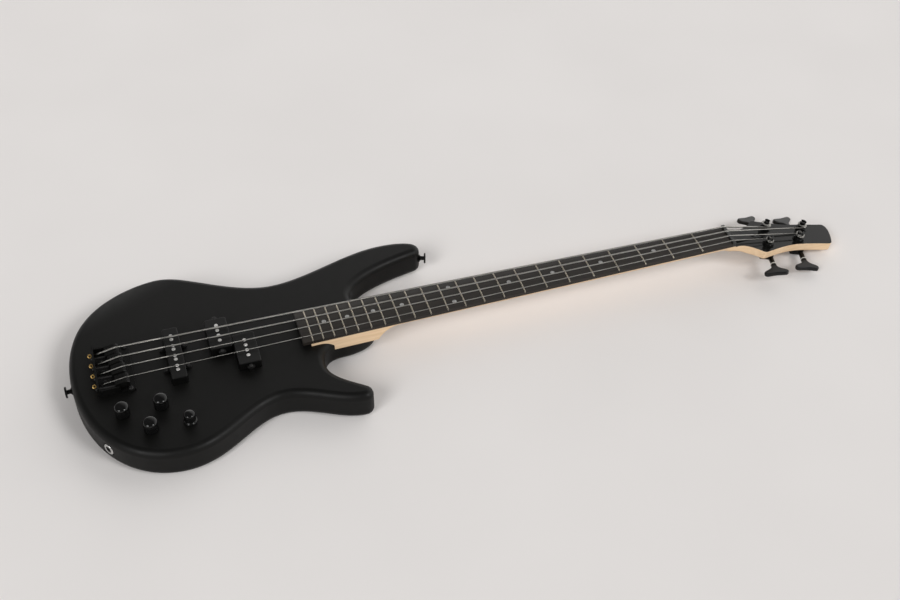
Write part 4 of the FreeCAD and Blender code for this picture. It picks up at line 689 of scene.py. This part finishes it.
class Tube:
    """A round tube grown ring by ring, with the length along it kept on every ring."""

    def __init__(self, radius, start, way, length=0.0):
        self.bm = bmesh.new()
        self.along = self.bm.verts.layers.float.new("along")
        self.length = length
        place = Matrix.Translation(start) @ way.to_track_quat("Z", "Y").to_matrix().to_4x4()
        bmesh.ops.create_circle(self.bm, cap_ends=True, segments=tube_sides, radius=radius,
                                matrix=place)
        self.keep(list(self.bm.edges), 0.0)

    def keep(self, geometry, step):
        """Take new edges as the open ring, so much further along."""
        self.length += step
        self.ring = [e for e in geometry if isinstance(e, bmesh.types.BMEdge)]
        for edge in self.ring:
            for vert in edge.verts:
                vert[self.along] = self.length

    def run(self, vector):
        """Grow straight on."""
        geometry = bmesh.ops.extrude_edge_only(self.bm, edges=self.ring)["geom"]
        new = [v for v in geometry if isinstance(v, bmesh.types.BMVert)]
        bmesh.ops.translate(self.bm, verts=new, vec=vector)
        edges = [e for e in geometry
                 if isinstance(e, bmesh.types.BMEdge) and all(v in new for v in e.verts)]
        self.keep(edges, vector.length)

    def turn(self, center, axis, angle, radius, steps, rise=Vector((0, 0, 0))):
        """Grow round a center, climbing by a rise in all."""
        for step in range(steps):
            lift = rise * (step / steps)
            made = bmesh.ops.spin(self.bm, geom=self.ring, cent=center + lift, axis=axis,
                                  dvec=rise / steps, angle=angle / steps, steps=1)["geom_last"]
            self.keep(made, abs(angle) / steps * radius)

    def close(self, name):
        """Cap the open end and make the tube a piece."""
        bmesh.ops.holes_fill(self.bm, edges=self.ring, sides=0)
        bmesh.ops.recalc_face_normals(self.bm, faces=self.bm.faces)
        for f in self.bm.faces:
            f.smooth = len(f.verts) == 4
        piece = piece_from(self.bm, name)
        piece.data.materials.append(string_wire.material)
        print(name, "ends at", round(self.length, 4))
        return piece


# %% Bends
bend_radius = 9.0 * mm
bend_steps = 5


def bend_reach(back, ahead):
    """How far from its corner a bend starts and ends, given the two ways out of the corner."""
    return bend_radius / math.tan(back.angle(ahead) / 2)


def bend(tube, before, corner, after):
    """Round a corner of the route and return where the bend ends."""
    back = (before - corner).normalized()
    ahead = (after - corner).normalized()
    half = back.angle(ahead) / 2
    center = corner + (back + ahead).normalized() * (bend_radius / math.sin(half))
    axis = ahead.cross(back).normalized()
    tube.turn(center, axis, math.pi - 2 * half, bend_radius, bend_steps)
    return corner + ahead * bend_reach(back, ahead)


# %% Lengths on both sides of the saddle
stretch_length = 60.0 * mm


def saddle_lengths(name, radius, start, saddle, nut):
    """Ball end to saddle, and the first stretch after it; return these, and where they end."""
    way = (saddle - start).normalized()
    climb = way * ((saddle - start).length - bend_reach(start - saddle, nut - saddle))
    tube = Tube(radius, start, way)
    tube.run(climb)
    here = bend(tube, start, saddle, nut)
    tail = tube.close("wound_string_" + name + "_tail")
    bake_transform(tail, "instrument", "saddle_" + name, start=start, end=start + climb)

    way = (nut - saddle).normalized()
    tube = Tube(radius, here, way, tube.length)
    tube.run(way * stretch_length)
    stretch = tube.close("wound_string_" + name + "_stretch")
    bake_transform(stretch, "saddle_" + name, "instrument", start=here, end=here + way * stretch_length)
    return tail, stretch, here + way * stretch_length, tube.length


# %% Length over the nut
def speaking_length(name, radius, here, length, saddle, nut, entry):
    """On over the nut to the post; return this, its last heading, and the length so far."""
    way = (nut - saddle).normalized()
    tube = Tube(radius, here, way, length)
    tube.run(way * ((nut - here).length - bend_reach(saddle - nut, entry - nut)))
    here = bend(tube, saddle, nut, entry)
    tube.run(entry - here)
    speaking = tube.close("wound_string_" + name)
    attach(speaking, "instrument")
    return speaking, (entry - here).normalized(), tube.length


# %% Turns on the post
turn_gap = 0.6 * mm
turn_steps = 18
tuck_steps = 8
tuck_share = 2.06
least_tuck = 2.0 * mm
tip_length = 0.0015


def post_winding(name, radius, heading, length, entry, post, turns, side):
    """The turns on the post, and the tip that tucks into its slot."""
    axis = face_up
    center = post + axis * (entry - post).dot(axis)
    winding = (entry - center).length
    rise = axis * (2 * radius + turn_gap) * turns
    tube = Tube(radius, entry, heading, length)
    tube.turn(center, axis * side, 2 * math.pi * turns, winding, turn_steps * turns, rise)
    tuck = max(tuck_share * radius, least_tuck)
    swing = math.acos(-tuck / (winding - tuck))
    inward = (center - entry).normalized()
    hub = entry + rise + inward * tuck
    tube.turn(hub, axis * side, swing, tuck, tuck_steps)
    tip_way = Matrix.Rotation(side * swing, 3, axis) @ (axis.cross(-inward) * side)
    tube.run(tip_way * tip_length)
    wrap = tube.close("wound_string_" + name + "_winding")
    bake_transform(wrap, "instrument", "post_" + name, start=entry, end=entry + rise)
    return wrap


# %% Four strings in four lengths
for name, route in string_routes.items():
    radius = route["radius"] * mm
    start, saddle, nut, entry, post = (
        Vector(route[key]) * mm for key in ("start", "saddle", "nut", "entry", "post"))
    tail, stretch, here, length = saddle_lengths(name, radius, start, saddle, nut)
    speaking, heading, length = speaking_length(name, radius, here, length, saddle, nut, entry)
    wrap = post_winding(name, radius, heading, length, entry, post, route["turns"], route["side"])
    for piece in (tail, stretch, speaking, wrap):
        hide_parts("string_" + name)
